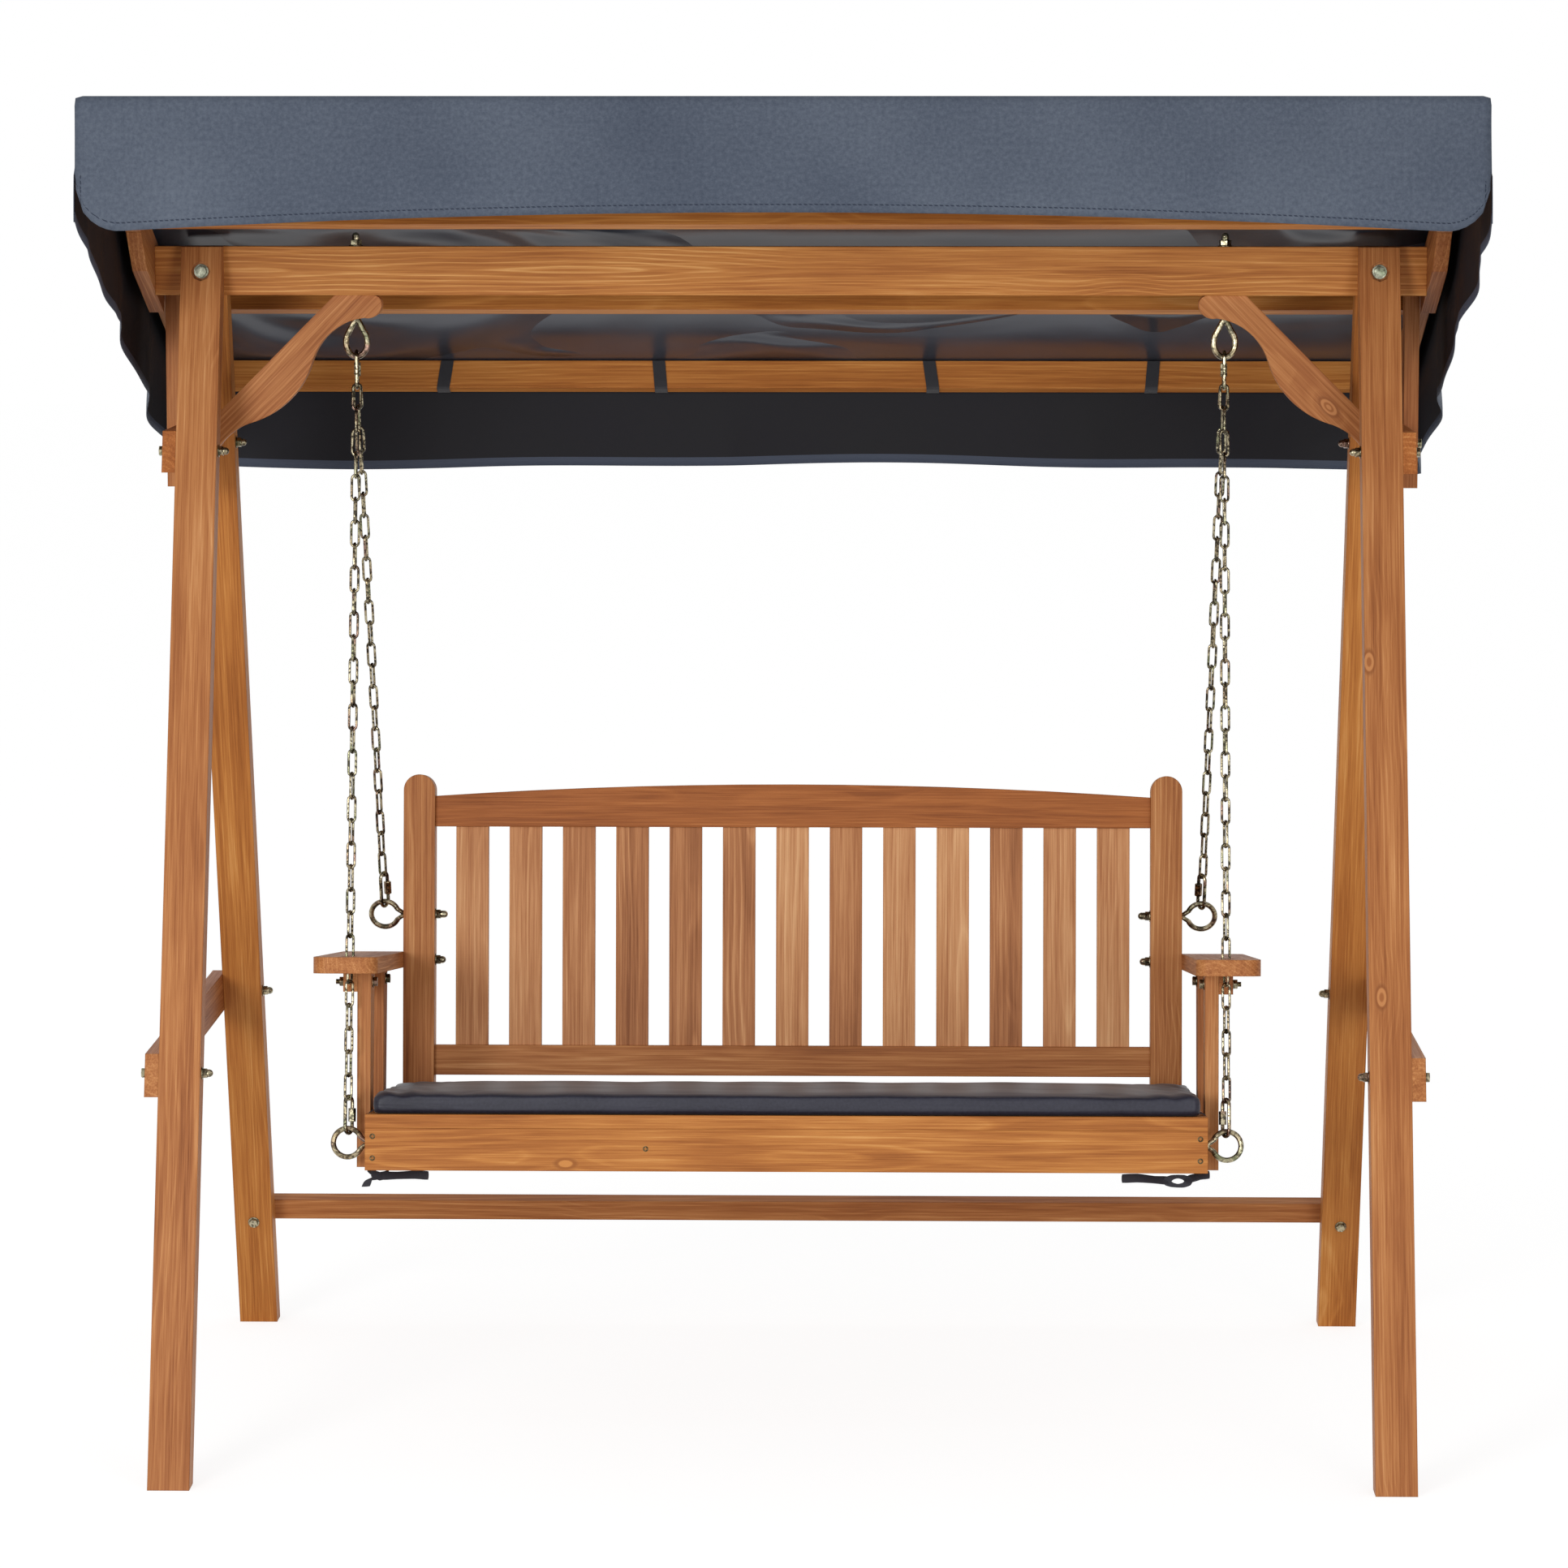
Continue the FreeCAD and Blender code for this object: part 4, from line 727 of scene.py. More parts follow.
# %% Model an eyebolt
def drawn_on(bm, rim, step):
    """Draw an open end on by a step, and give the edges of the new end."""
    made = bmesh.ops.extrude_edge_only(bm, edges=rim)["geom"]
    corners = only(made, BMVert)
    bmesh.ops.translate(bm, verts=corners, vec=step)
    return [e for e in only(made, BMEdge) if set(e.verts) <= set(corners)]


def eyebolt(outer, wire_size, neck, shank, screw, opening=23, squeeze=1.0):
    """A ring round the origin in the XZ plane, with its shank along +Z and a threaded end."""
    bm = bmesh.new()
    middle = (outer - wire_size) / 2
    open_angle = math.radians(opening)
    section = bmesh.ops.create_circle(bm, segments=12, radius=wire_size / 2)["verts"]
    bmesh.ops.translate(bm, verts=section, vec=(middle, 0, 0))
    turn = Matrix.Rotation(open_angle - math.pi / 2, 4, "Y")
    bmesh.ops.transform(bm, matrix=turn, verts=section)
    start = list({e for v in section for e in v.link_edges})
    end = spun(bm, start, (0, 1, 0), (0, 0, 0), 2 * math.pi - 2 * open_angle, 36)
    for vert in bm.verts:
        vert.co.x += (squeeze - 1) * middle * vert.co.x / math.hypot(vert.co.x, vert.co.z)
    for side, rim in ((1, start), (-1, end)):
        here = Vector((side * squeeze * middle * math.sin(open_angle), 0, middle * math.cos(open_angle)))
        there = Vector((side * wire_size * 0.12, 0, outer / 2 + neck * 0.9))
        drawn_on(bm, rim, there - here)
    low = outer / 2 + neck * 0.35
    high = outer / 2 + neck + shank
    rod = wire_size * 0.49
    disc(bm, 14, rod, low, high - screw, 0.0005)
    thread(bm, rod, high - screw - 0.002, high)
    clean(bm)
    soften(bm)
    return bm


# %% [markdown]
# The solids tell where each eye is: the eye's plane is the one with the least spread, and the shank ends at
# the corners nearest the timber.

# %% Put in the eyebolts and their nuts
HANGER, HANGER_WIRE, HANGER_NECK, HANGER_SHANK = 0.052, 0.009, 0.010, 0.120
RING, RING_WIRE, RING_NECK = 0.050, 0.008, 0.005
LONG_NECK = 0.0055

together = bmesh.new()
for corners in loose_solids("hanger_eyebolts"):
    tip = corners[corners[:, 2] > corners[:, 2].max() - 0.0005].mean(0)
    eye = Vector((tip[0], tip[1], corners[:, 2].min() + HANGER / 2))
    one = eyebolt(HANGER, HANGER_WIRE, HANGER_NECK, HANGER_SHANK, screw=0.026, opening=45, squeeze=0.74)
    add(together, one, stood(eye, (0, 0, 1), (1, 0, 0)))
hangers = kept(together, "hanger_eyes", "frame", [bolt_zinc], ["hanger_eyebolts"])

together = bmesh.new()
ring_nodes = ["seat_eyebolts", "back_eyebolts"]
for corners in loose_solids(ring_nodes[0]) + loose_solids(ring_nodes[1]):
    side = math.copysign(1, corners[:, 0].mean())
    reach = np.abs(corners[:, 0])
    tip = corners[reach < reach.min() + 0.0005].mean(0)
    _, axes = spread_axes(corners)
    eye = Vector((side * (reach.max() - RING / 2), tip[1], tip[2]))
    across = Vector((1, 0, 0)).cross(axes[2])
    shank = float(abs(eye.x) - RING / 2 - RING_NECK - reach.min())
    one = eyebolt(RING, RING_WIRE, RING_NECK, shank, screw=0.014)
    add(together, one, stood(eye, (-side, 0, 0), across))
bench_eyes = kept(together, "bench_eyes", "bench", [bolt_zinc], ring_nodes)

for cad_node, body, bulk in (("hanger_nuts", "frame", 1.22), ("eyebolt_nuts", "bench", 1.0)):
    together = bmesh.new()
    for corners in loose_solids(cad_node):
        middle, _ = spread_axes(corners)
        up = Vector((0, 0, 1)) if body == "frame" else Vector((-math.copysign(1, middle.x), 0, 0))
        one = bmesh.new()
        nut(one, 0, LONG_NECK, bulk)
        add(together, one, stood(middle - up * (WASHER + NUT) / 2, up))
    clean(together)
    soften(together)
    kept(together, cad_node + "_turned", body, [bolt_zinc], [cad_node])
print("eyes:", len(hangers.data.polygons) + len(bench_eyes.data.polygons), "faces")

# %% [markdown]
# ## Chain and quick links
# A link is a rod bent into a long loop: two straight sides and two half rounds. One round section is drawn
# along a side, spun half a turn, drawn back and spun again. There are over a hundred links, so their section
# has few sides, and smooth shading makes it look round. A quick link is the same loop, closed by a long nut.

# %% Bend a long link
def long_link(half_width, half_length, wire_size, sides, steps):
    """A loop in the XZ plane, long in Z. The sizes run to the middle of the wire."""
    bm = bmesh.new()
    side = half_length - half_width
    section = bmesh.ops.create_circle(bm, segments=sides, radius=wire_size / 2)["verts"]
    bmesh.ops.translate(bm, verts=section, vec=(half_width, 0, -side))
    rim = list({e for v in section for e in v.link_edges})
    for up in (1, -1):
        rim = drawn_on(bm, rim, (0, 0, 2 * side * up))
        rim = spun(bm, rim, (0, -1, 0), (0, 0, side * up), math.pi, steps)
    bmesh.ops.remove_doubles(bm, verts=bm.verts, dist=1e-5)
    bmesh.ops.recalc_face_normals(bm, faces=bm.faces)
    soften(bm, 60)
    return bm


# %% Hang the chains
CHAIN_WIRE, CHAIN_HALF = 0.004, 0.00575
for cad_node in [f"{place}_chain_{side}" for place in ("front", "rear") for side in ("left", "right")]:
    together = bmesh.new()
    for corners in loose_solids(cad_node):
        middle, axes = spread_axes(corners)
        reach = np.abs((corners - np.array(middle)) @ np.array(axes[0])).max()
        link = long_link(CHAIN_HALF, float(reach) - CHAIN_WIRE / 2, CHAIN_WIRE, sides=8, steps=6)
        add(together, link, stood(middle, axes[0], axes[1]))
    piece = kept(together, cad_node + "_links", "bench", [chain_zinc], [cad_node])
    print(piece.name, len(piece.data.polygons), "faces")

# %% Close the quick links with their nuts
QUICK_HALF, QUICK_LENGTH, QUICK_WIRE = 0.00875, 0.02725, 0.0055
SLEEVE, SLEEVE_HALF = 0.0056, 0.010
for cad_node in ("top_quick_links", "lower_quick_links"):
    together = bmesh.new()
    for corners in loose_solids(cad_node):
        middle, axes = spread_axes(corners)
        lean = float((corners.mean(0) - np.array(middle)) @ np.array(axes[1]))
        across = axes[1] if lean > 0 else -axes[1]
        heights = (corners - np.array(middle)) @ np.array(across)
        link = long_link(QUICK_HALF, QUICK_LENGTH, QUICK_WIRE, sides=12, steps=12)
        sleeve = bmesh.new()
        disc(sleeve, 6, SLEEVE, -SLEEVE_HALF, SLEEVE_HALF, 0.0007)
        add(link, sleeve, Matrix.Translation((QUICK_HALF, 0, 0)))
        soften(link)
        middle = middle + across * (float(heights.min()) + QUICK_HALF + QUICK_WIRE / 2)
        add(together, link, stood(middle, axes[0], across))
    kept(together, cad_node + "_bent", "bench", [chain_zinc], [cad_node])
print("quick links done")

# %% [markdown]
# ## The canopy cloth
# The canopy is one piece of coated cloth: a top that lies over the rails and four flaps that hang from its
# edges. It was cut flat with a square left out at each corner, so it is made flat here too. A grid is the
# cut, one cell to about a centimetre, and its corner squares are deleted. Then every point of the cut moves
# to where it hangs: a section along the canopy, and one across it, each with a soft bend over the edge.

# %% Cut the cloth flat
FLAP, FRONT_FLAP = 0.172, 0.187
HALF_WIDTH = 0.9765
FLAP_CELLS, TOP_CELLS, LENGTH_CELLS = 16, 180, 114

FRONT_EDGE, REAR_EDGE, CLOTH_LEVEL = -0.6380, 0.6045, 0.0482
TOP_LENGTH = REAR_EDGE - FRONT_EDGE
TOP_MIDDLE = (FRONT_EDGE + REAR_EDGE) / 2

cut = bmesh.new()
across_cells = TOP_CELLS + 2 * FLAP_CELLS
along_cells = LENGTH_CELLS + 2 * FLAP_CELLS
bmesh.ops.create_grid(
    cut,
    x_segments=across_cells,
    y_segments=along_cells,
    size=0.5,
    matrix=Matrix.Diagonal((across_cells, along_cells, 1, 1)),
)


def in_corner(face):
    middle = face.calc_center_median()
    return abs(middle.x) > TOP_CELLS / 2 and abs(middle.y) > LENGTH_CELLS / 2


bmesh.ops.delete(cut, geom=[f for f in cut.faces if in_corner(f)], context="FACES")


def cloth_place(cells, across):
    """Distance along the cut from its middle, from a count of cells."""
    half, size = (TOP_CELLS / 2, 2 * HALF_WIDTH) if across else (LENGTH_CELLS / 2, TOP_LENGTH)
    beyond = max(0.0, abs(cells) - half)
    inside = abs(cells) - beyond
    return math.copysign(inside * size / (2 * half) + beyond * FLAP / FLAP_CELLS, cells)


# %% [markdown]
# The bends come from a running direction: along the section the cloth heads up the front flap, turns over the
# front edge on to the slope and turns down again at the rear. Adding up short steps in that direction gives
# the place of every point, with no corner in it.

# %% The section along the canopy and the one across it
def walked(lengths, angles, step=0.0005):
    """Places along a section, from the direction at some lengths along it."""
    runs = np.arange(lengths[0], lengths[-1] + step, step)
    heading = np.interp(runs, lengths, angles)
    return runs, np.cumsum(np.cos(heading)) * step, np.cumsum(np.sin(heading)) * step


def bend(angle, radius=0.009):
    return abs(angle) * radius / 2


half_length = TOP_LENGTH / 2
slope = -math.radians(CANOPY_TILT)
front_bend = bend(math.pi / 2 - slope)
rear_bend = bend(math.pi / 2 + slope)
side_bend = bend(math.pi / 2)
runs_y, walk_y, walk_z = walked(
    [-half_length - FRONT_FLAP, -half_length - front_bend, -half_length + front_bend]
    + [half_length - rear_bend, half_length + rear_bend, half_length + FLAP],
    [math.pi / 2, math.pi / 2, slope, slope, -math.pi / 2, -math.pi / 2],
)
middle_y = np.interp(0.0, runs_y, walk_y)
middle_z = np.interp(0.0, runs_y, walk_z)
runs_x, walk_x, walk_drop = walked(
    [0.0, HALF_WIDTH - side_bend, HALF_WIDTH + side_bend, HALF_WIDTH + FLAP],
    [0.0, 0.0, -math.pi / 2, -math.pi / 2],
)
top_middle = canopy_axes @ Vector((0, TOP_MIDDLE, CLOTH_LEVEL))
print("top of the cloth at its middle:", tuple(round(v, 3) for v in top_middle))

# %% [markdown]
# Cloth on rails is not flat. It sags a little between them, rises where it crosses the beam, and peaks over
# the two bolt ends on it. The flaps hang in folds that grow towards the hem: nearly flat in front, where the
# hem is arched, but for slanting pulls near its corners, and deep at the sides. Rows below the arch's end
# follow the rounded corners of the front flap.

# %% How the top sags and the flaps fold
RAILS, RAIL_HALF, SIDE_RAIL = [-0.609, -0.210, 0.0, 0.188, 0.588], 0.014, 0.938
SLACK, RIDGE, PEAK, PEAK_PLACE = 0.11, 0.013, 0.011, 0.645
SIDE_WAVE, SIDE_LIFT, END_WAVE, CORNER_PULL = 0.010, 0.006, 0.0055, 0.005
ARCH, ARCH_HALF, ROUND = 0.026, 0.917, 0.060


def smooth(value, low, high):
    value = min(1.0, max(0.0, (value - low) / (high - low)))
    return value * value * (3 - 2 * value)


def top_rise(x, along):
    """How far the top stands above the straight line over the rails."""
    free = smooth(SIDE_RAIL - abs(x), 0, 0.12)
    rise = 0.0
    for near, far in zip(RAILS, RAILS[1:]):
        share = (along - near - RAIL_HALF) / (far - near - 2 * RAIL_HALF)
        if 0 < share < 1:
            slack = SLACK * (far - near) - 0.024 * noise.noise(Vector((x * 3.1, along * 7.0, 4.2)))
            rise -= slack * share * (1 - share) * free
    ridge = smooth(0.19 - abs(along), 0, 0.19)
    peak = max(0.0, 1 - math.hypot((abs(x) - PEAK_PLACE) / 0.24, along / 0.2)) ** 1.4
    return rise + RIDGE * ridge + PEAK * peak


def side_fold(run, drop):
    """How far a side flap stands out, by place along it and distance below the edge."""
    depth = smooth(drop, 0.01, FLAP)
    wave = math.sin(run * 6.3 + 0.9) + 0.75 * math.sin(run * 12.9 + 2.3) + 0.3 * math.sin(run * 27 + 0.6)
    return depth * SIDE_WAVE * wave, depth * SIDE_LIFT * math.sin(run * 9.4 + 1.1)


def end_fold(x, drop):
    """How far the front or rear flap stands out."""
    depth = smooth(drop, 0.02, FLAP)
    wave = math.sin(x * 4.8 + 0.4) + 0.6 * math.sin(x * 9.7 + 1.3) + 0.3 * math.sin(x * 21 + 2.0)
    inset = HALF_WIDTH - abs(x)
    near_corner = smooth(inset, 0.42, 0.12) * smooth(inset, 0.0, 0.08) * smooth(drop, 0.0, 0.09)
    slant = 0.5 + 0.5 * math.sin(26 * inset - 30 * drop + 0.6)
    return depth * END_WAVE * wave + CORNER_PULL * near_corner * slant


def front_hem(x):
    """Length of the front flap: arched in the middle and round at its corners."""
    arch = ARCH * max(0.0, 1 - (x / ARCH_HALF) ** 2)
    corner = ROUND - (HALF_WIDTH - abs(x))
    rounded = ROUND - math.sqrt(max(0.0, ROUND**2 - corner**2)) if corner > 0 else 0.0
    return FRONT_FLAP - arch, FRONT_FLAP - rounded


# %% Hang the cloth
hem_layer = cut.verts.layers.float.new("hem")
edge_layer = cut.verts.layers.float.new("edge")
flat_layer = cut.loops.layers.uv.new("cut")
for face in cut.faces:
    for loop in face.loops:
        i, j = loop.vert.co.x, loop.vert.co.y
        loop[flat_layer].uv = (cloth_place(i, True), cloth_place(j, False))

seam_rows = {}
for vert in cut.verts:
    i, j = round(vert.co.x), round(vert.co.y)
    u, v = cloth_place(i, True), cloth_place(j, False)
    end_drop = max(0.0, abs(v) - half_length)
    side_drop = max(0.0, abs(u) - HALF_WIDTH)
    vert[hem_layer] = FLAP - max(end_drop, side_drop) if end_drop + side_drop > 0 else 1.0
    vert[edge_layer] = HALF_WIDTH - abs(u) if end_drop > 0 else 1.0
    if v < -half_length:
        arched, rounded = front_hem(u)
        end_drop = min(end_drop * arched / FLAP, rounded)
        vert[hem_layer] = min(arched, rounded) - end_drop
        v = -half_length - end_drop
    x = math.copysign(np.interp(abs(u), runs_x, walk_x), u)
    y = np.interp(v, runs_y, walk_y) - middle_y + top_middle.y
    z = np.interp(v, runs_y, walk_z) - middle_z + top_middle.z + np.interp(abs(u), runs_x, walk_drop)
    if end_drop == 0 and side_drop == 0:
        z += top_rise(u, v + TOP_MIDDLE)
    if side_drop > 0:
        out, lift = side_fold(v * math.copysign(1, u) + 0.3 * (u > 0), side_drop)
        calm = 0.15 + 0.85 * smooth(v + half_length, 0.0, 0.16)
        x += math.copysign(out * calm, u)
        z += lift * calm
    if v > half_length:
        lift = 0.011 + 0.004 * math.sin(u * 4.1 + 1.2) + 0.002 * math.sin(u * 11)
        z += smooth(end_drop, 0, FLAP) * lift
    if end_drop > 0:
        y += math.copysign(end_fold(u, end_drop), v) - 0.004 * smooth(end_drop, 0, FLAP) * (v < 0)
    vert.co = (x, y, z)
    past_side, past_end = abs(i) - TOP_CELLS // 2, abs(j) - LENGTH_CELLS // 2
    if past_side + past_end > 0 and min(abs(past_side), abs(past_end)) == 0:
        seam_rows.setdefault((i > 0, j > 0, past_side + past_end), []).append(vert)

# %% [markdown]
# The corners are sewn: the points of the two flaps that meet are welded row by row. In front the seam stops
# where the rounded corner starts, and the side flap shows below it.

# %% Sew the corners
FRONT_SEAM = 9
welds = {}
for (_, rear, row), pair in seam_rows.items():
    if len(pair) == 2 and row <= (FLAP_CELLS if rear else FRONT_SEAM):
        middle = (pair[0].co + pair[1].co) / 2
        pair[0].co = middle
        pair[1].co = middle
        welds[pair[0]] = pair[1]
bmesh.ops.weld_verts(cut, targetmap=welds)
bmesh.ops.dissolve_degenerate(cut, edges=cut.edges, dist=1e-5)
soften(cut, 80)
print("cloth:", len(cut.faces), "faces,", len(welds), "welds")

# %% [markdown]
# ## The cloth's two sides
# Outside it is a slate-blue woven polyester with a soft mottle. Inside it has a dark coating that shines a
# little where it creases. Both read the flat cut as their map, so the weave runs with the cloth round the
# edges. The hem is turned to the inside: there a narrow band shows the outer cloth, and on the outside a row
# of stitches runs along it. A solidify modifier gives the sheet its thickness, with the coated side as a
# second material.

# %% Threads and stitches
STITCH, STITCH_HALF, THREAD_PITCH = 0.0075, 0.0009, 0.0012


def waves(tree, run, pitch):
    return sums(tree, "SINE", sums(tree, "MULTIPLY", run, 2 * math.pi / pitch))


def stitch_line(tree, flat, distance, place):
    """One row of stitches at a distance from a hem: 1 on a thread, 0 off it."""
    parts = split(tree, flat)
    run = sums(tree, "ADD", parts["X"], parts["Y"])
    dash = sums(tree, "GREATER_THAN", waves(tree, run, STITCH), -0.35)
    off = sums(tree, "ABSOLUTE", sums(tree, "SUBTRACT", distance, place))
    return sums(tree, "MULTIPLY", sums(tree, "LESS_THAN", off, STITCH_HALF), dash)


def weave(tree, flat):
    """The height of a plain weave: two crossing sets of threads."""
    parts = split(tree, flat)
    return sums(tree, "MULTIPLY", *[waves(tree, parts[axis], THREAD_PITCH) for axis in "XY"])


def cloth_maps(tree, *names):
    """The flat cut, and the distances from the hem or the side edge that are stored on the cloth."""
    marks = [node(tree, "Attribute", attribute_name=name).outputs["Fac"] for name in names]
    return node(tree, "UVMap", uv_map="cut").outputs["UV"], *marks


# %% Weave the outside
def canopy_outside():
    material, tree, shader = finish("canopy_slate")
    flat, hem, edge = cloth_maps(tree, "hem", "edge")
    mottle = haze(tree, flat, 160.0, 4.0, 0.7)
    cloud = haze(tree, flat, 3.2, 3.0)
    slack = haze(tree, flat, 9.0, 3.0, distort=0.8)
    mixed = sums(tree, "MULTIPLY_ADD", mottle, 0.65, sums(tree, "MULTIPLY", cloud, 0.5))
    tone = ramp(tree, mixed, [(0.36, (60, 68, 83)), (0.56, (76, 84, 98)), (0.78, (93, 101, 114))])
    rows = [stitch_line(tree, flat, *row) for row in ((hem, 0.011), (edge, 0.007))]
    sewn = sums(tree, "MAXIMUM", *rows)
    folded = grade(tree, sums(tree, "MINIMUM", hem, edge), 0.0125, 0.0105)
    height = sums(tree, "MULTIPLY_ADD", weave(tree, flat), 0.03, sums(tree, "MULTIPLY", mottle, 0.12))
    for pattern, share in ((folded, 0.3), (sewn, -0.5), (slack, 2.4)):
        height = sums(tree, "MULTIPLY_ADD", pattern, share, height)
    look = {
        "Base Color": blend(tree, sewn, tone, paint(44, 51, 66)),
        "Roughness": 0.7,
        "Specular IOR Level": 0.2,
        "Sheen Weight": 0.06,
        "Sheen Roughness": 0.5,
        "Normal": relief(tree, height, 0.55, 0.0022),
    }
    wire(tree, shader, look)
    return material


# %% Coat the inside
TURNED_HEM = 0.014


def canopy_inside():
    material, tree, shader = finish("canopy_coating")
    flat, hem = cloth_maps(tree, "hem")
    cloud = haze(tree, flat, 5.0, 4.0)
    on_top = sums(tree, "GREATER_THAN", hem, 0.5)
    # one coating in two tones: the flaps' inside is painted near black as painted shade, and the top's inside
    # a lighter grey as painted reflection
    shaded_flap_tone = ramp(tree, cloud, [(0.3, (16, 15, 20)), (0.7, (25, 24, 30))])
    lit_top_tone = ramp(tree, cloud, [(0.3, (46, 50, 60)), (0.7, (66, 70, 81))])
    tone = blend(tree, on_top, shaded_flap_tone, lit_top_tone)
    turned = sums(tree, "LESS_THAN", hem, TURNED_HEM)
    creases = haze(tree, flat, 2.2, 2.0, 0.35, 1.0)
    sharp = sums(tree, "ABSOLUTE", sums(tree, "SUBTRACT", creases, 0.5))
    height = sums(tree, "MULTIPLY_ADD", creases, 1.6, sums(tree, "MULTIPLY", sharp, 2.0))
    height = sums(tree, "MULTIPLY", height, grade(tree, on_top, 0, 1, 0.1, 1.0))
    gloss = sums(tree, "MULTIPLY", on_top, 0.33)
    look = {
        "Base Color": blend(tree, turned, tone, paint(66, 73, 88)),
        "Roughness": sums(tree, "SUBTRACT", grade(tree, cloud, 0.3, 0.7, 0.60, 0.68), gloss),
        "Specular IOR Level": grade(tree, on_top, 0, 1, 0.22, 0.4),
        "Normal": relief(tree, height, 1.0, 0.045),
    }
    wire(tree, shader, look)
    return material


# %% Keep the sheet
HEM_CUT_AREA, CLOTH_THICKNESS = 0.03, 0.0011
COVER_NODES = [
    "canopy_top_panel",
    "canopy_front_valance",
    "canopy_rear_valance",
    "canopy_side_valance_left",
    "canopy_side_valance_right",
]
two_sides = [canopy_outside(), canopy_inside()]
canopy = kept(cut, "canopy_sheet", "frame", two_sides, COVER_NODES)
thick = canopy.modifiers.new("cloth_thickness", "SOLIDIFY")
thick.thickness = CLOTH_THICKNESS
thick.offset = -1
thick.material_offset = 1
print("canopy:", len(canopy.data.polygons), "faces")

# %% [markdown]
# ## Webbing straps
# Four straps are sewn inside the canopy and loop under the rear rail. Each is a flat band: a short edge as
# wide as the strap is drawn down the rail's front face, spun round its lower corners and drawn up behind it.

# %% The webbing and its thickness
def webbing(name, dark, light, pitch):
    material, tree, shader = finish(name)
    place = own_place(tree)
    ribs = node(tree, "TexWave", {"Vector": place, "Scale": 1 / pitch, "Distortion": 0.5, "Detail": 1.0})
    fuzz = sums(tree, "MULTIPLY", haze(tree, place, 900.0, 2.0), 0.4)
    mixed = sums(tree, "MULTIPLY_ADD", ribs.outputs["Fac"], 0.6, fuzz)
    look = {
        "Base Color": ramp(tree, mixed, [(0.2, dark), (0.8, light)]),
        "Roughness": 0.7,
        "Sheen Weight": 0.15,
        "Normal": relief(tree, mixed, 0.4, 0.0006),
    }
    wire(tree, shader, look)
    return material


def thickened(bm, thickness):
    """Give a band its thickness."""
    bmesh.ops.recalc_face_normals(bm, faces=bm.faces)
    bmesh.ops.solidify(bm, geom=bm.faces[:], thickness=thickness)
    bmesh.ops.recalc_face_normals(bm, faces=bm.faces)


# %% Loop the straps round the rear rail
STRAP, STRAP_THICKNESS, STRAP_GAP, STRAP_TURN = 0.020, 0.0013, 0.0006, 0.003
RAIL_FRONT, RAIL_REAR, RAIL_TOP = 0.577, 0.599, 0.0445
front, rear, low = RAIL_FRONT - STRAP_GAP, RAIL_REAR + STRAP_GAP, STRAP_TURN - STRAP_GAP
quarter_run = (RAIL_TOP - low) / 4
straps = bmesh.new()
for x, lean in ((-0.560, 0.006), (-0.215, -0.004), (0.215, -0.006), (0.560, 0.004)):
    band = bmesh.new()
    pair = [band.verts.new((x + s * STRAP / 2, front, RAIL_TOP)) for s in (-1, 1)]
    rim = [band.edges.new(pair)]
    for _ in range(4):
        rim = drawn_on(band, rim, (0, 0, -quarter_run))
    rim = spun(band, rim, (1, 0, 0), (0, front + STRAP_TURN, low), math.pi / 2, 5)
    rim = drawn_on(band, rim, (0, rear - front - 2 * STRAP_TURN, 0))
    rim = spun(band, rim, (1, 0, 0), (0, rear - STRAP_TURN, low), math.pi / 2, 5)
    for _ in range(4):
        rim = drawn_on(band, rim, (0, 0, quarter_run))
    for vert in band.verts:
        vert.co.x += lean * (vert.co.z / RAIL_TOP)
    thickened(band, -STRAP_THICKNESS)
    add(straps, band, canopy_axes)
soften(straps, 40)
black_webbing = webbing("black_webbing", (22, 22, 26), (48, 48, 54), pitch=0.0016)
rail_straps = kept(straps, "rail_straps", "frame", [black_webbing], ["canopy_straps"])
print("straps:", len(rail_straps.data.polygons), "faces")

# %% [markdown]
# ## The seat cushion
# The cushion is a thin foam pad in a sewn cover, the whole length of the seat. A block is cut to a little
# less than its size and rounded. Then cloth simulation blows it up: the cover is a fine mesh under a small
# pressure, and how far a point may go is limited, so that the pad stays flat where it lies and swells on top.

# %% Shape the pad
PAD_LOW, PAD_HALF, PAD_FRONT, PAD_REAR, PAD_TALL = 0.0826, 0.609, 0.005, 0.420, 0.028

pad = bmesh.new()
bmesh.ops.create_cube(
    pad,
    size=1.0,
    matrix=Matrix.Translation((0, (PAD_FRONT + PAD_REAR) / 2, PAD_LOW + PAD_TALL / 2))
    @ Matrix.Diagonal((2 * PAD_HALF, PAD_REAR - PAD_FRONT, PAD_TALL, 1)),
)


eased(pad, [e for e in pad.edges if rise(e) > 0.01], 0.011, 4)
rims = [e for e in pad.edges if rise(e) < 1e-6 and len(e.link_faces) == 2]
eased(pad, [e for e in rims if e.calc_face_angle() > 0.5], 0.006, 4)
print("pad block:", len(pad.faces), "faces")


def remeshed(bm, name, voxel):
    """A mesh object with an even skin of small squares."""
    made = put_in(name, as_mesh(bm, name))
    skin = made.modifiers.new("skin", "REMESH")
    skin.mode = "VOXEL"
    skin.voxel_size = voxel
    settled = made.evaluated_get(bpy.context.evaluated_depsgraph_get())
    even = bpy.data.meshes.new_from_object(settled)
    bpy.data.objects.remove(made)
    return even


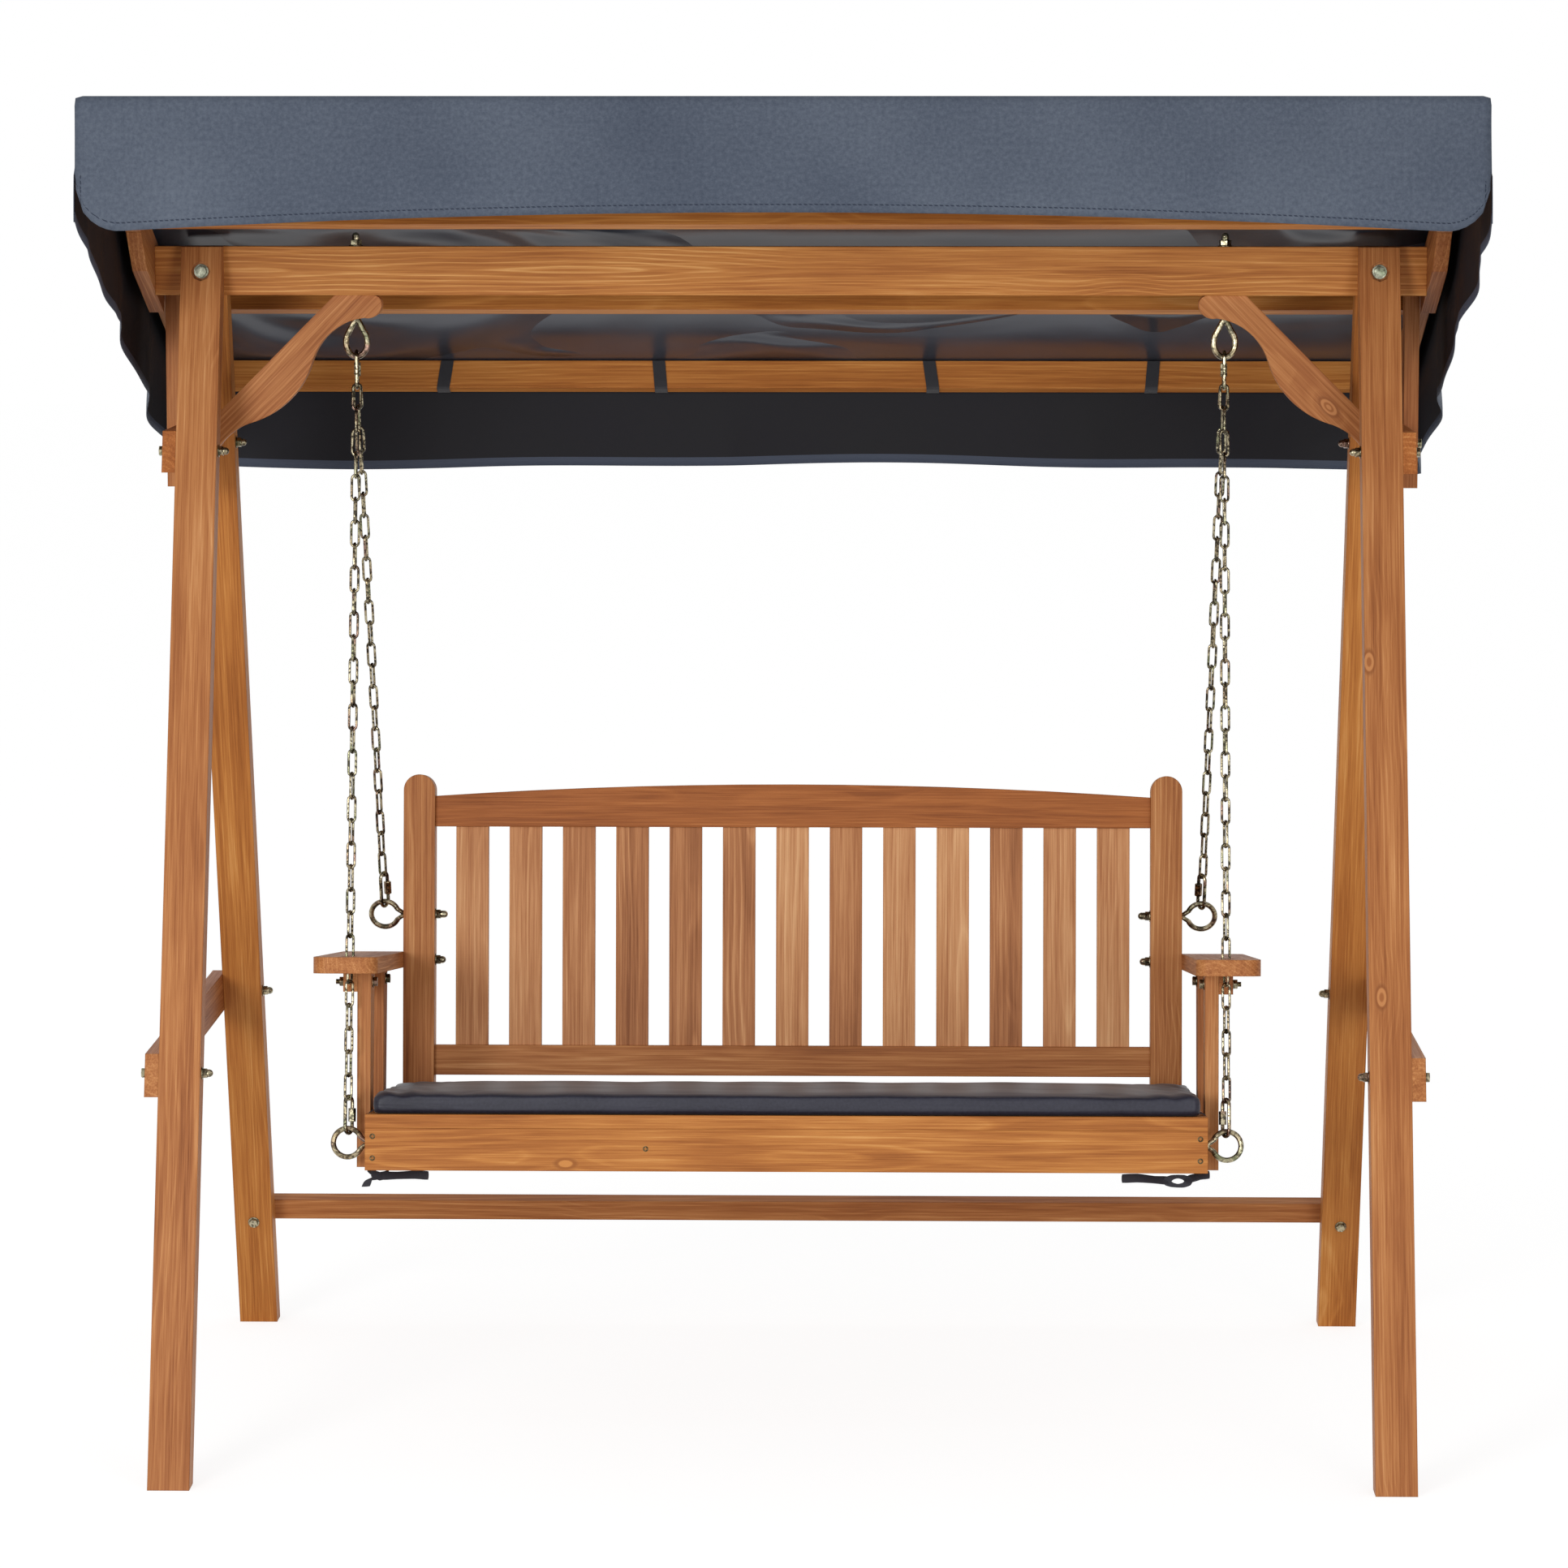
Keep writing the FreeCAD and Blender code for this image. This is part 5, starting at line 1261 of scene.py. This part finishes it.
# %% Blow the pad up
PAD_CELL, PAD_SWELL, SIM_STEPS = 0.006, 0.004, 20
pad_mesh = remeshed(pad, "pad_block", PAD_CELL)
cushion = put_in("cushion_pad", pad_mesh)
rest = np.array([v.co for v in pad_mesh.vertices])
cloth = cushion.modifiers.new("cover", "CLOTH")
cloth.settings.quality = 6
cloth.settings.mass = 0.25
cloth.settings.tension_stiffness = 18
cloth.settings.compression_stiffness = 18
cloth.settings.bending_stiffness = 0.6
cloth.settings.use_pressure = True
cloth.settings.uniform_pressure_force = 4
cloth.settings.effector_weights.gravity = 0
cloth.point_cache.frame_start = 1
cloth.point_cache.frame_end = SIM_STEPS
for step in range(1, SIM_STEPS + 1):
    scene.frame_set(step)
blown = cushion.evaluated_get(bpy.context.evaluated_depsgraph_get())
swollen = np.array([v.co for v in blown.data.vertices])
cushion.modifiers.clear()
scene.frame_set(1)
move = swollen - rest
far = np.linalg.norm(move, axis=1)
limit = np.minimum(1.0, PAD_SWELL / np.maximum(far, 1e-9))
shaped = rest + move * limit[:, None]
print("the pressure moved the cover by up to", round(float(far.max()) * 1000, 1), "mm")

# %% [markdown]
# A crown over the whole top, a flat underside and long shallow creases near the front edge finish the form.
# The creases come from foam that is a little smaller than its cover, so they run along the edges and fade
# out.

# %% Crown the pad and lay it on the seat
CROWN, PUCKER, RIPPLE, WAIST = 0.005, 0.0016, 0.0020, 0.006
PAD_NEAR, PAD_FAR, PAD_LIMIT = 0.0015, 0.4235, 0.0445
CREASE_WIDTH = 0.0032
CREASES = ((PAD_LOW + 0.015, 0.0016), (PAD_LOW + 0.023, 0.0013))


def pad_shape(corner):
    x, y, z = corner
    high = smooth(z, PAD_LOW + 0.004, PAD_LOW + PAD_TALL)
    inward = smooth(PAD_HALF - abs(x), 0.0, 0.16) * smooth(min(y - PAD_FRONT, PAD_REAR - y), 0.0, 0.14)
    z += CROWN * high * inward
    face = smooth(PAD_FRONT + 0.03 - y, 0.0, 0.03)
    drift = noise.noise(Vector((x * 2.3, 0.4, 1.7))) * 0.006
    for level, deep in CREASES:
        gap = (z - level - drift) / CREASE_WIDTH
        y += face * deep * math.exp(-gap * gap) * (0.6 + 0.4 * noise.noise(Vector((x * 5.0, level * 90, 0))))
    pucker = noise.noise(Vector((x * 14, y * 14, z * 20)))
    corner_pull = smooth(abs(x), PAD_HALF - 0.12, PAD_HALF)
    z += PUCKER * pucker * high + RIPPLE * corner_pull * high * math.sin(x * 150 + y * 60)
    inset = WAIST * (1 - smooth(PAD_HALF - abs(x), 0.0, 0.5)) - 0.004 * inward
    y += math.copysign(max(0.0, inset) * 0.5, (PAD_FRONT + PAD_REAR) / 2 - y)
    return x, max(PAD_NEAR, min(PAD_FAR, y)), max(PAD_LOW, min(PAD_LOW + PAD_LIMIT, z))


for vert, corner in zip(pad_mesh.vertices, shaped):
    vert.co = bench_axes @ Vector(pad_shape(corner))
for face in pad_mesh.polygons:
    face.use_smooth = True
fine = cushion.modifiers.new("fine_skin", "SUBSURF")
fine.levels = 1
fine.render_levels = 1
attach(cushion, "bench")
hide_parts("seat_cushion")
print("cushion:", len(pad_mesh.polygons), "faces before smoothing")

# %% [markdown]
# The cover is a dark navy polyester with a slight silk to it: lighter where it turns to the light on top. Its
# weave is too fine to see from a distance, so mottle, sheen and small creases carry the look.

# %% The cushion's cloth
def cushion_cloth():
    material, tree, shader = finish("cushion_navy")
    place = own_place(tree)
    mottle = haze(tree, place, 220.0, 3.0)
    cloud = sums(tree, "MULTIPLY", haze(tree, place, 6.0, 3.0), 0.6)
    mixed = sums(tree, "MULTIPLY_ADD", mottle, 0.4, cloud)
    along = mapped(tree, place, Scale=(4.0, 30.0, 60.0))
    creases = haze(tree, along, 1.0, 4.0, distort=0.7)
    height = sums(tree, "MULTIPLY_ADD", creases, 1.0, sums(tree, "MULTIPLY", mottle, 0.05))
    look = {
        "Base Color": ramp(tree, mixed, [(0.35, (28, 28, 41)), (0.65, (46, 46, 60))]),
        "Roughness": 0.46,
        "Specular IOR Level": 0.35,
        "Sheen Weight": 0.08,
        "Sheen Roughness": 0.4,
        "Normal": relief(tree, height, 0.35, 0.004),
    }
    wire(tree, shader, look)
    return material


navy = cushion_cloth()
pad_mesh.materials.clear()
pad_mesh.materials.append(navy)
print("cushion finish:", navy.name)

# %% [markdown]
# ## Ties
# A tape comes down from each front corner of the cushion, round the seat's side rail, and is knotted below
# it. The tape is a flat band drawn along a bending line. On the left it ends in a loose half knot with two
# tails. On the right it ends in a bow, which is a ring of the same tape.

# %% Draw a tape
def tape(points, widths, thickness=0.0012):
    """A flat band through points on the bench: three numbers for a place, three for the band's width."""
    bm = bmesh.new()
    rows = []
    for point, width in zip(points, widths):
        place, across = Vector(point[:3]), Vector(point[3:]).normalized() * width / 2
        rows.append([bm.verts.new(place + across * s) for s in (-1, 1)])
    edges = [bm.edges.new(row) for row in rows]
    for first, second in zip(edges, edges[1:]):
        bmesh.ops.bridge_loops(bm, edges=[first, second])
    bmesh.ops.subdivide_edges(bm, edges=bm.edges[:], cuts=2, use_grid_fill=True)
    bmesh.ops.smooth_vert(bm, verts=bm.verts, factor=0.5, use_axis_x=True, use_axis_y=True, use_axis_z=True)
    thickened(bm, thickness)
    return bm


def tie_down(side, depth):
    """The band from the cushion's corner, down outside the side rail and in under it."""
    out = 0.6178 * side
    return [
        (0.604 * side, depth, 0.0885, 0, 1, 0),
        (0.6165 * side, depth, 0.083, 0, 1, 0),
        (out, depth, 0.060, 0, 1, 0),
        (out, depth, 0.010, 0, 1, 0),
        (out, depth - 0.004, -0.004, 0, 1, 0.2),
        (0.606 * side, depth - 0.009, -0.010, 0, 1, 0.5),
        (0.590 * side, depth - 0.014, -0.0115, 0, 0.6, 1),
    ]


# %% The knots and the bow
# a loose half knot, a long tail along the board, and a short end that hangs out
LEFT_KNOT = [
    [
        (-0.612, 0.050, -0.006, 0, 0.7, 1),
        (-0.598, 0.046, -0.012, 0, 0.5, 1),
        (-0.584, 0.048, -0.008, 0, 0.7, 1),
    ],
    [
        (-0.596, 0.044, -0.010, 0, 0.4, 1),
        (-0.572, 0.040, -0.009, 0, 0.7, 0.7),
        (-0.545, 0.036, -0.0075, 0, 0.5, 0.9),
        (-0.524, 0.036, -0.009, 0, 0.3, 1),
    ],
    [
        (-0.600, 0.046, -0.010, 0, 0.6, 1),
        (-0.614, 0.044, -0.014, 1, 0.5, 0.4),
        (-0.619, 0.042, -0.027, 1, 0.4, 0),
    ],
]
# a long tail along the board, and a short end on the other side of the bow
RIGHT_KNOT = [
    [
        (0.560, 0.042, -0.013, 0, 0.4, 1),
        (0.540, 0.040, -0.012, 0, 0.7, 0.7),
        (0.515, 0.036, -0.009, 0, 0.4, 0.9),
        (0.490, 0.036, -0.010, 0, 0.3, 1),
    ],
    [
        (0.588, 0.046, -0.012, 0, 0.6, 1),
        (0.604, 0.044, -0.007, 0, 0.8, 0.7),
        (0.622, 0.042, -0.004, 0, 0.6, 1),
    ],
]


def bow(place, half_width, half_height):
    """A bow lying flat to the front: a ring of tape, broad at its sides and narrow above and below."""
    points, widths = [], []
    for step in range(13):
        turn = step * math.pi / 6
        out = Vector((math.cos(turn), 0, math.sin(turn)))
        spot = Vector(place) + Vector((half_width * out.x, 0.003 * math.sin(2 * turn), half_height * out.z))
        points.append((*spot, *out))
        widths.append(0.006 + 0.009 * out.x * out.x)
    return points, widths


# %% Tie the cushion down
TIE_DEPTH, TIE_WIDTH, KNOT_WIDTH = 0.064, 0.014, 0.015
BOW_PLACE, BOW_HALF_WIDTH, BOW_HALF_HEIGHT = (0.574, 0.043, -0.0135), 0.016, 0.0068
ties = bmesh.new()
for side, knot in ((-1, LEFT_KNOT), (1, RIGHT_KNOT)):
    down = tie_down(side, TIE_DEPTH)
    add(ties, tape(down, [TIE_WIDTH] * len(down)), bench_axes)
    for run in knot:
        add(ties, tape(run, [KNOT_WIDTH] * len(run), thickness=0.0016), bench_axes)
add(ties, tape(*bow(BOW_PLACE, BOW_HALF_WIDTH, BOW_HALF_HEIGHT), thickness=0.0018), bench_axes)
soften(ties, 50)
navy_webbing = webbing("navy_webbing", (26, 26, 34), (50, 50, 60), pitch=0.0014)
cushion_ties = kept(ties, "cushion_tapes", "bench", [navy_webbing], ["cushion_ties"])
print("ties:", len(cushion_ties.data.polygons), "faces")

# %% [markdown]
# ## Screws in the seat's front board
# Two countersunk screws hold each end of the front board, and one goes into a bearer behind it. A screw head
# is a flat disc with a cross cut into it: its inner rim is drawn into four arms and pressed inwards. The
# screws are darker than the bolts, a dull bronze.

# %% Drive the screws
def screw_head(radius):
    """A flat head facing +Z, with a cross recess."""
    bm = bmesh.new()
    bmesh.ops.create_circle(bm, cap_ends=True, segments=20, radius=radius)
    face = next(iter(bm.faces))
    bmesh.ops.inset_individual(bm, faces=[face], thickness=radius * 0.22, depth=radius * 0.06)
    bmesh.ops.inset_individual(bm, faces=[face], thickness=radius * 0.12)
    for vert in face.verts:
        angle = math.atan2(vert.co.y, vert.co.x)
        vert.co.xy = vert.co.xy * (0.4 + 0.6 * abs(math.cos(2 * angle)) ** 3)
    bmesh.ops.inset_individual(bm, faces=[face], thickness=radius * 0.03, depth=-radius * 0.35)
    drawn_on(bm, [e for e in bm.edges if len(e.link_faces) == 1], (0, 0, -radius * 0.3))
    bmesh.ops.recalc_face_normals(bm, faces=bm.faces)
    return bm


SCREW = 0.0042
SCREW_PLACES = ((-0.605, 0.018), (-0.605, 0.050), (0.605, 0.018), (0.605, 0.050), (-0.205, 0.033))
screws = bmesh.new()
facing = bench_axes.to_3x3() @ Vector((0, -1, 0))
for x, level in SCREW_PLACES:
    spot = bench_axes @ Vector((x, -0.0002, level))
    add(screws, screw_head(SCREW), stood(spot, facing, (1, 0, 0)))
soften(screws, 30)
BRONZE = [(74, 56, 38), (92, 74, 50), (112, 94, 66), (78, 66, 46)]
screw_bronze = zinc("screw_bronze", scale=90.0, seed=5.1, polish=0.42, dark=0.6, shades=BRONZE)
apron_screws = kept(screws, "apron_screws", "bench", [screw_bronze])
print("screws:", len(apron_screws.data.polygons), "faces")
